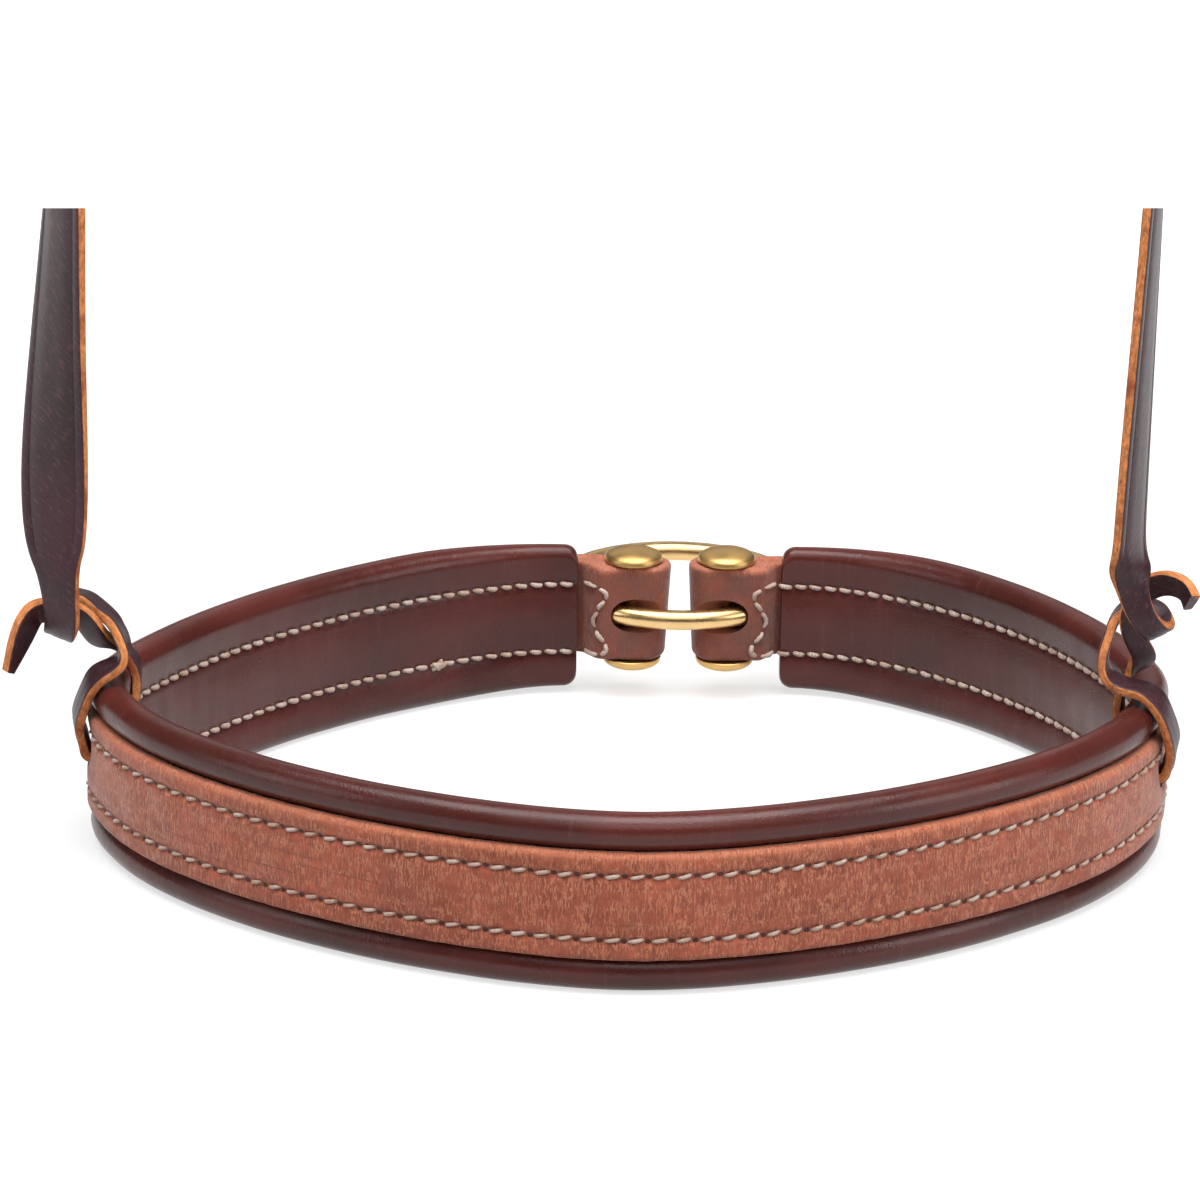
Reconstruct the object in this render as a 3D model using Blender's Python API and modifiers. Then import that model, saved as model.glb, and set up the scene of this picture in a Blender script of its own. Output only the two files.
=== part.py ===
"""Leather tie-down noseband: a padded, rolled band, a brass rear ring and two knotted hanger straps.

The frame has +Z up, -Y towards the bridge of the nose and +Y towards the jaw and the ring.
The origin is the middle of the nose opening, at the middle of the band's height.
Sizes are in millimetres here and become metres where a mesh or a curve is made.
"""
from bisect import bisect_right
from math import asin, atan2, cos, pi, radians, sin, sqrt

import bmesh
import bpy
from mathutils import Vector

# Units and fits
MM = 0.001
GAP = 0.3
MERGE = 0.00001

# Plan of the loop, on the centre line of the rolled edges
HALF_WIDTH = 115.1
FRONT_DEPTH = 85.6
REAR_DEPTH = 101.6
FRONT_POWER = 1.64
REAR_POWER = 1.6
REAR_FLAT = 54.0
REAR_SWAY = 0.14
PLAN_STEPS = 6
SPAN_POINTS = 8

# Padded backing with a rolled top and bottom edge
ROLL_RADIUS = 4.0
ROLL_PROUD = 1.0
ROLL_CLEARANCE = 0.24
COVER_THICKNESS = 1.6
BACKING_SETBACK = 24.6
END_ROLL_RADIUS = 2.6
END_ROLL_DRAW = 0.75
END_LAP = 0.1
END_TAPER = 42.0
END_SPARE = 2.0
OUTER_ARC_STEPS = 7
INNER_ARC_STEPS = 7
CORD_CLEARANCE = 0.5
STATION_LENGTH = 26.0
STATION_TURN = 0.26

# Outer strip of harness leather, folded into a tab at each rear end
STRIP_HEIGHT = 23.4
STRIP_THICKNESS = 3.8
STRIP_BACK_ROUND = 2.2
STRIP_FACE_ROUND = 1.3
TAB_THICKNESS = 3.0
TAB_END = 2.2
TAB_CHANNEL = 6.0
TAB_TIP_THICKNESS = 2.6
TAB_TAPER = 5.9
TIP_CLEARANCE = 0.4
TAB_BLEND = 6.0
TAB_RISE = 2.4
FOLD_STEPS = 8

# Stitching
THREAD_RADIUS = 0.5
GROOVE_DEPTH = 0.55
OUTER_ROW_INSET = 4.8
INNER_ROW_INSET = 10.7
FLAP_MARGIN = 2.9
ROW_MARGIN = 5.0
CLOSING_START = 2.7
CLOSING_REACH = 4.6
CLOSING_HEIGHT = 8.4

# Brass posts in the folds
SHANK_RADIUS = 1.2
BARREL_WALL = 0.6
SHANK_STOP = 6.4
BORE_SPARE = 2.0
HEAD_RADIUS = 7.0
HEAD_RIM = 0.7
HEAD_DOME = 2.5
HEAD_STEPS = 5

# Rear ring
RING_INNER = 50.8
RING_WIRE = 4.8
RING_STAND_OFF = 1.8
RING_SAG = 0.6
SLOT_SIDE = 0.4
SLOT_OVER = 1.8

# Hanger straps and their knots
HANGER_WIDTH = 15.7
HANGER_THICKNESS = 2.2
HANGER_BEVEL = 0.5
THONG_WIDTH = 6.4
WRAP_CLEARANCE = 0.6
THONG_OVER_THREAD = 0.35
LEFT_HANGER_AT = 148.0
RIGHT_HANGER_AT = 140.5
LEFT_HANGER_TOP = 103.0
RIGHT_HANGER_TOP = 107.6
LEFT_SLOT_AT = 3.5
RIGHT_SLOT_AT = 5.0
SLOT_END_ROOM = 1.2
SLOT_FACE_ROOM = 0.8
SLOT_PAST = 2.0
BEND_INSIDE = 1.9

# Worked-out places
LINING_INSET = ROLL_RADIUS - ROLL_PROUD
FLAP_FACE = 2 * COVER_THICKNESS + GAP - LINING_INSET
STRIP_BACK = FLAP_FACE + GAP
STRIP_FACE = STRIP_BACK + STRIP_THICKNESS
ROLL_REACH = ROLL_RADIUS + STRIP_BACK_ROUND + ROLL_CLEARANCE
ROLL_RISE = sqrt(ROLL_REACH ** 2 - (STRIP_BACK + STRIP_BACK_ROUND) ** 2)
BAND_HEIGHT = STRIP_HEIGHT + 2 * (ROLL_RISE - STRIP_BACK_ROUND + ROLL_RADIUS)
END_HEIGHT = STRIP_HEIGHT + 4 * END_ROLL_RADIUS - 2 * END_LAP + END_SPARE
GROOVE_HALF = THREAD_RADIUS + GAP
OUTER_ROW_HEIGHT = STRIP_HEIGHT / 2 - OUTER_ROW_INSET
INNER_ROW_HEIGHT = BAND_HEIGHT / 2 - INNER_ROW_INSET
FLAP_EDGE = OUTER_ROW_HEIGHT - FLAP_MARGIN
THREAD_CLEARANCE = 2 * THREAD_RADIUS + GAP - GROOVE_DEPTH + THONG_OVER_THREAD
RING_RADIUS = (RING_INNER + RING_WIRE) / 2
WIRE_RADIUS = RING_WIRE / 2
SLOT_HEIGHT = RING_WIRE + 2 * SLOT_OVER
RING_HEIGHT = TAB_RISE - RING_SAG
FOLD_RADIUS = (TAB_CHANNEL + TAB_THICKNESS) / 2
OUTER_LAYER = STRIP_FACE - TAB_THICKNESS / 2
POST_LINE = OUTER_LAYER - FOLD_RADIUS
INNER_LAYER = POST_LINE - FOLD_RADIUS
TAB_FACE = INNER_LAYER - TAB_THICKNESS / 2
FOLD_CENTRE = TAB_END + FOLD_RADIUS + TAB_THICKNESS / 2
TAB_TIP = BACKING_SETBACK - TIP_CLEARANCE
TAB_STRAIGHT = TAB_TIP - TAB_TAPER
TIP_LINE = OUTER_LAYER - TAB_THICKNESS / 2 - TIP_CLEARANCE - TAB_TIP_THICKNESS / 2
BORE_RADIUS = SHANK_RADIUS + GAP
POST_RADIUS = BORE_RADIUS + BARREL_WALL
POST_OFFSET = FOLD_CENTRE + TAB_CHANNEL / 2
SHANK_LENGTH = STRIP_HEIGHT - SHANK_STOP
BORE_LENGTH = SHANK_LENGTH + BORE_SPARE
RING_LINE = TAB_FACE - RING_STAND_OFF + RING_RADIUS
BAND_MIDDLE = STRIP_FACE - STRIP_THICKNESS / 2
HEAD_SEAT = STRIP_HEIGHT / 2 + GAP
WRAP_OUT = STRIP_FACE + THREAD_CLEARANCE + HANGER_THICKNESS / 2
WRAP_IN = -ROLL_RADIUS - WRAP_CLEARANCE - HANGER_THICKNESS / 2
WRAP_TOP = BAND_HEIGHT / 2 + WRAP_CLEARANCE + HANGER_THICKNESS / 2
HANGER_SLOT_LENGTH = THONG_WIDTH + 2 * SLOT_END_ROOM
HANGER_SLOT_HEIGHT = HANGER_THICKNESS + 2 * SLOT_FACE_ROOM
SLOT_BEND = HANGER_THICKNESS / 2 + BEND_INSIDE
KNOT_UNIT = max(HANGER_THICKNESS / 2.2, THONG_WIDTH / 6.4)


# Smooth curves
def pass_through(points):
    """Control points that make a cubic B-spline pass very near the given points."""
    return [b - (a - b * 2 + c) / 6 for a, b, c in zip(points, points[1:], points[2:])]


def spline_points(controls, per_span):
    """Points along a cubic B-spline, from its second control point to its last but one."""
    points = []
    for a, b, c, d in zip(controls, controls[1:], controls[2:], controls[3:]):
        for k in range(per_span):
            u = k / per_span
            points.append((a * (1 - u) ** 3 + b * (3 * u ** 3 - 6 * u * u + 4)
                           + c * (3 * u + 3 * u * u - 3 * u ** 3 + 1) + d * u ** 3) / 6)
    points.append((controls[-3] + controls[-2] * 4 + controls[-1]) / 6)
    return points


# Plan of the loop
def plan_knots():
    """The right half, from the front centre round to the start of the flat rear stretch."""
    knots = []
    for step in range(-PLAN_STEPS, PLAN_STEPS + 1):
        angle = radians(90 * step / PLAN_STEPS)
        start = 0 if step <= 0 else REAR_FLAT / 2
        depth = FRONT_DEPTH if step <= 0 else REAR_DEPTH
        power = FRONT_POWER if step <= 0 else REAR_POWER
        across = abs(cos(angle)) / (HALF_WIDTH - start)
        along = abs(sin(angle)) / depth
        radius = (across ** power + along ** power) ** (-1 / power)
        knots.append(Vector((start + radius * cos(angle), radius * sin(angle))))
    return knots


def mirrored(point, middle):
    return Vector((2 * middle - point.x, point.y))


def right_half():
    """The smooth right half of the plan, ending on the loop's middle line at the rear."""
    knots = plan_knots()
    front = [mirrored(knots[2], 0), mirrored(knots[1], 0)]
    rear = [mirrored(knots[-2], REAR_FLAT / 2), mirrored(knots[-3], REAR_FLAT / 2)]
    points = spline_points(pass_through(front + knots + rear), SPAN_POINTS)
    return points + [Vector((0, points[-1].y))]


def settled(point):
    """Sways the rear to the right, as the band hangs, and centres the opening on the origin."""
    return Vector((point.x + REAR_SWAY * max(point.y, 0), point.y - (REAR_DEPTH - FRONT_DEPTH) / 2))


def loop_points():
    """The whole loop, from the rear gap round the right side, the front and the left side."""
    half = right_half()
    right = [settled(point) for point in reversed(half)]
    left = [settled(mirrored(point, 0)) for point in half[1:]]
    return right + left


LOOP = loop_points()
REACH = [0.0]
for first, second in zip(LOOP, LOOP[1:]):
    REACH.append(REACH[-1] + (second - first).length)
LOOP_LENGTH = REACH[-1]
FRONT_REACH = REACH[len(LOOP) // 2]


def loop_direction(index):
    before = LOOP[max(index - 1, 0)]
    after = LOOP[min(index + 1, len(LOOP) - 1)]
    return (after - before).normalized()


def loop_place(distance):
    """The point and the direction of travel at a distance along the loop from the rear gap."""
    index = min(max(bisect_right(REACH, distance) - 1, 0), len(LOOP) - 2)
    share = (distance - REACH[index]) / (REACH[index + 1] - REACH[index])
    point = LOOP[index].lerp(LOOP[index + 1], share)
    clamped = min(max(share, 0), 1)
    along = loop_direction(index).lerp(loop_direction(index + 1), clamped).normalized()
    return point, along


def band_point(distance, outward, height):
    """A point given by its distance along the loop, its offset outwards and its height."""
    point, along = loop_place(distance)
    normal = Vector((-along.y, along.x))
    flat = point + normal * outward
    return Vector((flat.x, flat.y, height))


def band_stations(start, end):
    """Distances along the loop, closer together where it bends more."""
    weights = [0.0]
    steps = 400
    places = [start + (end - start) * k / steps for k in range(steps + 1)]
    for near, far in zip(places, places[1:]):
        turn = loop_place(near)[1].angle(loop_place(far)[1])
        weights.append(weights[-1] + (far - near) / STATION_LENGTH + turn / STATION_TURN)
    count = round(weights[-1])
    chosen = []
    for k in range(count + 1):
        index = min(bisect_right(weights, weights[-1] * k / count), steps)
        chosen.append(places[index])
    chosen[0] = start
    chosen[-1] = end
    return chosen


# Meshes
def new_material(name, colour, roughness, metallic=0.0):
    material = bpy.data.materials.new(name)
    material.use_nodes = True
    shader = material.node_tree.nodes["Principled BSDF"]
    shader.inputs["Base Color"].default_value = (*colour, 1)
    shader.inputs["Roughness"].default_value = roughness
    shader.inputs["Metallic"].default_value = metallic
    return material


def finish(mesh_object, collection, material, smooth_angle=40):
    collection.objects.link(mesh_object)
    mesh_object.data.materials.clear()
    mesh_object.data.materials.append(material)
    mesh_object.data.shade_smooth()
    mesh_object.data.set_sharp_from_angle(angle=radians(smooth_angle))
    return mesh_object


def sweep(name, rings, collection, material):
    """Carries a cross-section along rings of points by extruding its end face."""
    shape = bmesh.new()
    face = shape.faces.new([shape.verts.new(point * MM) for point in rings[0]])
    for near, far in zip(rings, rings[1:]):
        moves = {tuple(round(value, 7) for value in Vector(point * MM)): target * MM
                 for point, target in zip(near, far)}
        result = bmesh.ops.extrude_face_region(shape, geom=[face, *face.edges, *face.verts])
        for vert in [item for item in result["geom"] if isinstance(item, bmesh.types.BMVert)]:
            vert.co = moves[tuple(round(value, 7) for value in vert.co)]
        face = [item for item in result["geom"] if isinstance(item, bmesh.types.BMFace)][0]
    bmesh.ops.recalc_face_normals(shape, faces=shape.faces)
    mesh = bpy.data.meshes.new(name)
    shape.to_mesh(mesh)
    shape.free()
    return finish(bpy.data.objects.new(name, mesh), collection, material)


def tube(name, points, radius, collection, material, resolution=1):
    """A round cord along a line of points, as a curve made into a mesh with welded ends."""
    curve = bpy.data.curves.new(name, "CURVE")
    curve.dimensions = "3D"
    curve.bevel_depth = radius * MM
    curve.bevel_resolution = resolution
    curve.use_fill_caps = True
    spline = curve.splines.new("POLY")
    spline.points.add(len(points) - 1)
    for slot, point in zip(spline.points, points):
        slot.co = (*(point * MM), 1)
    guide = bpy.data.objects.new(name + "_guide", curve)
    collection.objects.link(guide)
    bpy.context.view_layer.update()
    evaluated = guide.evaluated_get(bpy.context.evaluated_depsgraph_get())
    mesh = bpy.data.meshes.new_from_object(evaluated)
    mesh.name = name
    bpy.data.objects.remove(guide)
    bpy.data.curves.remove(curve)
    shape = bmesh.new()
    shape.from_mesh(mesh)
    bmesh.ops.remove_doubles(shape, verts=shape.verts, dist=MERGE)
    bmesh.ops.recalc_face_normals(shape, faces=shape.faces)
    shape.to_mesh(mesh)
    shape.free()
    return finish(bpy.data.objects.new(name, mesh), collection, material, 60)


def turned(name, profile, centre, collection, material, steps=20, closed=False):
    """A turned piece: a profile of radii and heights with a Screw modifier."""
    shape = bmesh.new()
    verts = [shape.verts.new((radius * MM, 0, height * MM)) for radius, height in profile]
    pairs = list(zip(verts, verts[1:]))
    if closed:
        pairs.append((verts[-1], verts[0]))
    for first_vert, second_vert in pairs:
        shape.edges.new((first_vert, second_vert))
    mesh = bpy.data.meshes.new(name)
    shape.to_mesh(mesh)
    shape.free()
    piece = bpy.data.objects.new(name, mesh)
    piece.location = centre * MM
    screw = piece.modifiers.new("turn", "SCREW")
    screw.steps = steps
    screw.render_steps = steps
    screw.use_merge_vertices = True
    screw.merge_threshold = MERGE
    screw.use_smooth_shade = True
    collection.objects.link(piece)
    mesh.materials.append(material)
    return piece


def cut(piece, cutter):
    boolean = piece.modifiers.new(cutter.name, "BOOLEAN")
    boolean.operation = "DIFFERENCE"
    boolean.solver = "EXACT"
    boolean.object = cutter


# Padded backing
def end_share(distance):
    """How far the backing has thinned towards its nearer end, from 0 to 1."""
    edge = min(distance, LOOP_LENGTH - distance) - BACKING_SETBACK
    share = min(max(1 - edge / END_TAPER, 0), 1)
    return share * share * (3 - 2 * share)


def mixed(full, end, share):
    return full + (end - full) * share


def arc(centre, radius, start, end, steps):
    """Points on an arc in the section's plane, with angles in radians from outwards."""
    return [Vector((centre.x + radius * cos(start + (end - start) * k / steps),
                    centre.y + radius * sin(start + (end - start) * k / steps)))
            for k in range(steps + 1)]


def cover_half(height, roll):
    """Outer and inner outline of the top half of the cover, both from the flap's edge."""
    inset = END_ROLL_DRAW * (roll - ROLL_RADIUS)
    centre = Vector((inset, height / 2 - roll))
    hollow = roll - COVER_THICKNESS
    flap_inner = FLAP_FACE - COVER_THICKNESS
    lining_back = COVER_THICKNESS - LINING_INSET
    outer_start = asin((FLAP_FACE - inset) / roll) - pi / 2
    outer_end = 1.5 * pi - asin((LINING_INSET + inset) / roll)
    inner_start = asin((flap_inner - inset) / hollow) - pi / 2
    inner_end = 1.5 * pi + asin((lining_back - inset) / hollow)
    outer = [Vector((FLAP_FACE, FLAP_EDGE))]
    outer += arc(centre, roll, outer_start, outer_end, OUTER_ARC_STEPS)
    inner = [Vector((flap_inner, FLAP_EDGE))]
    inner += arc(centre, hollow, inner_start, inner_end, INNER_ARC_STEPS)
    return outer, inner


def groove(face, height, depth, side):
    """Four points of a shallow stitching groove, from its lower to its upper edge."""
    floor = face - side * depth
    return [Vector((face, height - GROOVE_HALF)), Vector((floor, height - GROOVE_HALF * 0.6)),
            Vector((floor, height + GROOVE_HALF * 0.6)), Vector((face, height + GROOVE_HALF))]


def flipped(points):
    return [Vector((point.x, -point.y)) for point in points]


def cover_section(distance):
    share = end_share(distance)
    height = mixed(BAND_HEIGHT, END_HEIGHT, share)
    outer, inner = cover_half(height, mixed(ROLL_RADIUS, END_ROLL_RADIUS, share))
    upper_groove = groove(-LINING_INSET, INNER_ROW_HEIGHT, GROOVE_DEPTH, -1)
    outline = outer + upper_groove[::-1] + flipped(upper_groove) + flipped(outer)[::-1]
    return outline + flipped(inner) + inner[::-1]


def band_ring(distance, section):
    return [band_point(distance, point.x, point.y) for point in section]


def make_cover(stations, collection, material):
    rings = [band_ring(distance, cover_section(distance)) for distance in stations]
    return sweep("backing_cover", rings, collection, material)


def make_fillings(stations, collection, cord, felt):
    """The two cords inside the rolled edges and the flat filler between the flaps."""
    inside = [distance for distance in stations if end_share(distance) == 0]
    radius = ROLL_RADIUS - COVER_THICKNESS - CORD_CLEARANCE
    centre = BAND_HEIGHT / 2 - ROLL_RADIUS
    for name, height in (("upper_roll_cord", centre), ("lower_roll_cord", -centre)):
        line = [band_point(distance, 0, height) for distance in inside]
        tube(name, line, radius, collection, cord)
    half = FLAP_EDGE - GAP
    back = FLAP_FACE - COVER_THICKNESS
    section = [Vector((back, -half)), Vector((FLAP_FACE, -half)), Vector((FLAP_FACE, half)),
               Vector((back, half))]
    rings = [band_ring(distance, section) for distance in inside]
    return sweep("flat_filler", rings, collection, felt)


# Outer strip and its folded tabs
def tab_rise(distance):
    """How far the strip has risen towards its nearer tab, which stands a little high."""
    return TAB_RISE * end_share(distance) ** 2


def fold_line():
    """The strip's middle line in a tab, from the tucked tip round the fold to the outer layer.

    Each entry is the distance from the gap's centre, the offset outwards and the thickness.
    """
    line = []
    tuck_steps = 4
    for k in range(tuck_steps + 1):
        share = k / tuck_steps
        ease = share * share * (3 - 2 * share)
        line.append((mixed(TAB_TIP, TAB_STRAIGHT, share), mixed(TIP_LINE, INNER_LAYER, ease),
                     mixed(TAB_TIP_THICKNESS, TAB_THICKNESS, ease)))
    line.append(((TAB_STRAIGHT + FOLD_CENTRE) / 2, INNER_LAYER, TAB_THICKNESS))
    for k in range(FOLD_STEPS + 1):
        angle = pi * k / FOLD_STEPS
        line.append((FOLD_CENTRE - FOLD_RADIUS * sin(angle), POST_LINE - FOLD_RADIUS * cos(angle),
                     TAB_THICKNESS))
    line.append((BACKING_SETBACK - GAP, OUTER_LAYER, TAB_THICKNESS))
    line.append((BACKING_SETBACK + TAB_BLEND, BAND_MIDDLE, STRIP_THICKNESS))
    return line


def strip_line(stations):
    """The strip's middle line from tip to tip, as points with its thickness there."""
    tab = fold_line()
    reach = tab[-1][0] + GAP
    line = list(tab)
    line += [(distance, BAND_MIDDLE, STRIP_THICKNESS) for distance in stations
             if reach < distance < LOOP_LENGTH - reach]
    line += [(LOOP_LENGTH - distance, outward, thickness) for distance, outward, thickness in tab[::-1]]
    return [(band_point(distance, outward, tab_rise(distance)), thickness)
            for distance, outward, thickness in line]


def line_normals(points):
    """The grain side's direction at each point of a line in plan, to the left of travel."""
    normals = []
    for index, point in enumerate(points):
        before = points[max(index - 1, 0)]
        after = points[min(index + 1, len(points) - 1)]
        along = after - before
        normals.append(Vector((-along.y, along.x, 0)).normalized())
    return normals


def strip_section(thickness, depth):
    """Section of the strip: rounded back corners, slimmer front corners and two grooves."""
    half = thickness / 2
    back = STRIP_BACK_ROUND * thickness / STRIP_THICKNESS
    front = STRIP_FACE_ROUND * thickness / STRIP_THICKNESS
    top = STRIP_HEIGHT / 2
    upper = groove(half, OUTER_ROW_HEIGHT, depth, 1)
    upper += arc(Vector((half - front, top - front)), front, 0, pi / 2, 2)
    upper += arc(Vector((back - half, top - back)), back, pi / 2, pi, 3)
    return upper + flipped(upper)[::-1]


def make_strip(stations, collection, material):
    line = strip_line(stations)
    normals = line_normals([point for point, thickness in line])
    for index, distance in ((0, TAB_TIP), (-1, LOOP_LENGTH - TAB_TIP)):
        along = loop_place(distance)[1]
        normals[index] = Vector((along.y, -along.x, 0))
    rings = []
    for (point, thickness), normal in zip(line, normals):
        depth = GROOVE_DEPTH if thickness == STRIP_THICKNESS else 0.02
        section = strip_section(thickness, depth)
        rings.append([point + normal * spot.x + Vector((0, 0, spot.y)) for spot in section])
    return sweep("nose_strip", rings, collection, material)


# Stitching
def make_rows(stations, collection, material):
    """Four long rows of thread: two on the strip and two on the lining."""
    outer = STRIP_FACE - GROOVE_DEPTH + GAP + THREAD_RADIUS
    inner = -LINING_INSET + GROOVE_DEPTH - GAP - THREAD_RADIUS
    outer_start = BACKING_SETBACK + TAB_BLEND
    rows = (("upper_outer_stitching", outer, OUTER_ROW_HEIGHT, outer_start, 1),
            ("lower_outer_stitching", outer, -OUTER_ROW_HEIGHT, outer_start, 1),
            ("upper_inner_stitching", inner, INNER_ROW_HEIGHT, BACKING_SETBACK, 0),
            ("lower_inner_stitching", inner, -INNER_ROW_HEIGHT, BACKING_SETBACK, 0))
    for name, outward, height, start, rise in rows:
        near = start + ROW_MARGIN
        line = [band_point(distance, outward, height + rise * tab_rise(distance))
                for distance in stations if near < distance < LOOP_LENGTH - near]
        tube(name, line, THREAD_RADIUS, collection, material)


def tab_face(distance, lift):
    """A point over the nose side of a tab, at a distance from the gap and a lift off the face."""
    line = fold_line()
    line = line[:next(k for k, entry in enumerate(line) if entry[0] < FOLD_CENTRE)]
    for near, far in zip(line, line[1:]):
        if far[0] <= distance <= near[0]:
            share = (near[0] - distance) / (near[0] - far[0])
            along = Vector((far[0] - near[0], far[1] - near[1])).normalized()
            middle = Vector((distance, mixed(near[1], far[1], share)))
            inwards = Vector((-along.y, along.x))
            return middle + inwards * (mixed(near[2], far[2], share) / 2 + lift)
    raise ValueError("the stitch lies off the tab")


def closing_stitches():
    """The ends of the stitches that close a fold, from its top to its bottom."""
    shares = ((0, 1), (0.654, 0.952), (1, 0.714), (0.692, 0.5), (0.385, 0.214))
    upper = [(BACKING_SETBACK - CLOSING_START - CLOSING_REACH * across, CLOSING_HEIGHT * up)
             for across, up in shares]
    return upper + [(distance, -height) for distance, height in upper[::-1]]


def make_closing(side, collection, material):
    """The thread that closes a fold: it bulges away from the ring's slot at mid height."""
    lift = GAP + THREAD_RADIUS
    stitches = closing_stitches()
    line = []
    for (near, low), (far, high) in zip(stitches, stitches[1:]):
        for share in (0, 0.5):
            spot = tab_face(mixed(near, far, share), lift)
            line.append((spot, mixed(low, high, share)))
    last, height = stitches[-1]
    line.append((tab_face(last, lift), height))
    places = [(spot.x if side == "right" else LOOP_LENGTH - spot.x, spot.y, height + TAB_RISE)
              for spot, height in line]
    tube(side + "_closing_stitches", [band_point(*place) for place in places], THREAD_RADIUS,
         collection, material)


# Rear hardware
def dome(seat, side):
    """Profile of a low domed head, from the rim at its seat to its crown on the axis."""
    points = [(HEAD_RADIUS, seat), (HEAD_RADIUS, seat + side * HEAD_RIM)]
    for k in range(1, HEAD_STEPS + 1):
        angle = pi / 2 * k / HEAD_STEPS
        points.append((HEAD_RADIUS * cos(angle), seat + side * (HEAD_RIM + HEAD_DOME * sin(angle))))
    points[-1] = (0, points[-1][1])
    return points


def make_post(side, collection, material):
    distance = POST_OFFSET if side == "right" else LOOP_LENGTH - POST_OFFSET
    centre = band_point(distance, POST_LINE, TAB_RISE)
    mouth = STRIP_HEIGHT / 2 - GAP
    barrel = [(0, mouth - BORE_LENGTH), (BORE_RADIUS, mouth - BORE_LENGTH), (BORE_RADIUS, mouth),
              (POST_RADIUS, mouth), (POST_RADIUS, -HEAD_SEAT)] + dome(-HEAD_SEAT, -1)
    screw = dome(HEAD_SEAT, 1)[::-1]
    screw += [(SHANK_RADIUS, HEAD_SEAT), (SHANK_RADIUS, HEAD_SEAT - SHANK_LENGTH),
              (0, HEAD_SEAT - SHANK_LENGTH)]
    turned(side + "_post_barrel", barrel, centre, collection, material)
    turned(side + "_post_screw", screw, centre, collection, material)


def ring_centre(lift=0.0):
    """The ring's middle, where it sags to the bottom of its slots, or higher by a lift."""
    return band_point(0, RING_LINE, RING_HEIGHT + lift)


def make_ring(collection, material):
    centre = ring_centre() * MM
    bpy.ops.mesh.primitive_torus_add(major_radius=RING_RADIUS * MM, minor_radius=WIRE_RADIUS * MM,
                                     major_segments=44, minor_segments=10, location=centre)
    ring = bpy.context.object
    ring.name = "tie_down_ring"
    ring.data.name = "tie_down_ring"
    for owner in list(ring.users_collection):
        owner.objects.unlink(ring)
    return finish(ring, collection, material, 80)


def make_slot_cutter(collection, material):
    """A flat annulus in the ring's plane: it cuts the slots that the ring runs through."""
    near = RING_RADIUS - WIRE_RADIUS - SLOT_SIDE
    far = RING_RADIUS + WIRE_RADIUS + SLOT_SIDE
    half = SLOT_HEIGHT / 2
    profile = [(near, -half), (near, half), (far, half), (far, -half)]
    cutter = turned("ring_slot_cutter", profile, ring_centre(RING_SAG), collection, material, 96, True)
    cutter.hide_render = True
    cutter.display_type = "WIRE"
    return cutter


def make_hanger_slot(side, collection, material):
    """A round-ended cutter through the middle of the band, where a hanger's thong passes."""
    left = side == "left"
    along = LEFT_SLOT_AT if left else -RIGHT_SLOT_AT
    distance = FRONT_REACH + (LEFT_HANGER_AT if left else -RIGHT_HANGER_AT) + along
    middle = band_point(distance, (STRIP_FACE - LINING_INSET) / 2, 0)
    heading = loop_place(distance)[1]
    bpy.ops.mesh.primitive_cube_add(size=MM, location=middle * MM)
    cutter = bpy.context.object
    cutter.name = side + "_hanger_slot_cutter"
    size = Vector((HANGER_SLOT_LENGTH, STRIP_FACE + LINING_INSET + 2 * SLOT_PAST, HANGER_SLOT_HEIGHT))
    for vert in cutter.data.vertices:
        vert.co = Vector((vert.co.x * size.x, vert.co.y * size.y, vert.co.z * size.z))
    cutter.rotation_euler = (0, 0, atan2(heading.y, heading.x))
    shape = bmesh.new()
    shape.from_mesh(cutter.data)
    ends = [edge for edge in shape.edges
            if abs(edge.verts[0].co.y - edge.verts[1].co.y) > 0.5 * size.y * MM]
    bmesh.ops.bevel(shape, geom=ends, offset=0.45 * HANGER_SLOT_HEIGHT * MM, segments=3,
                    profile=0.5, affect="EDGES")
    shape.to_mesh(cutter.data)
    shape.free()
    for owner in list(cutter.users_collection):
        owner.objects.unlink(cutter)
    finish(cutter, collection, material)
    cutter.hide_render = True
    cutter.display_type = "WIRE"
    return cutter


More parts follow.
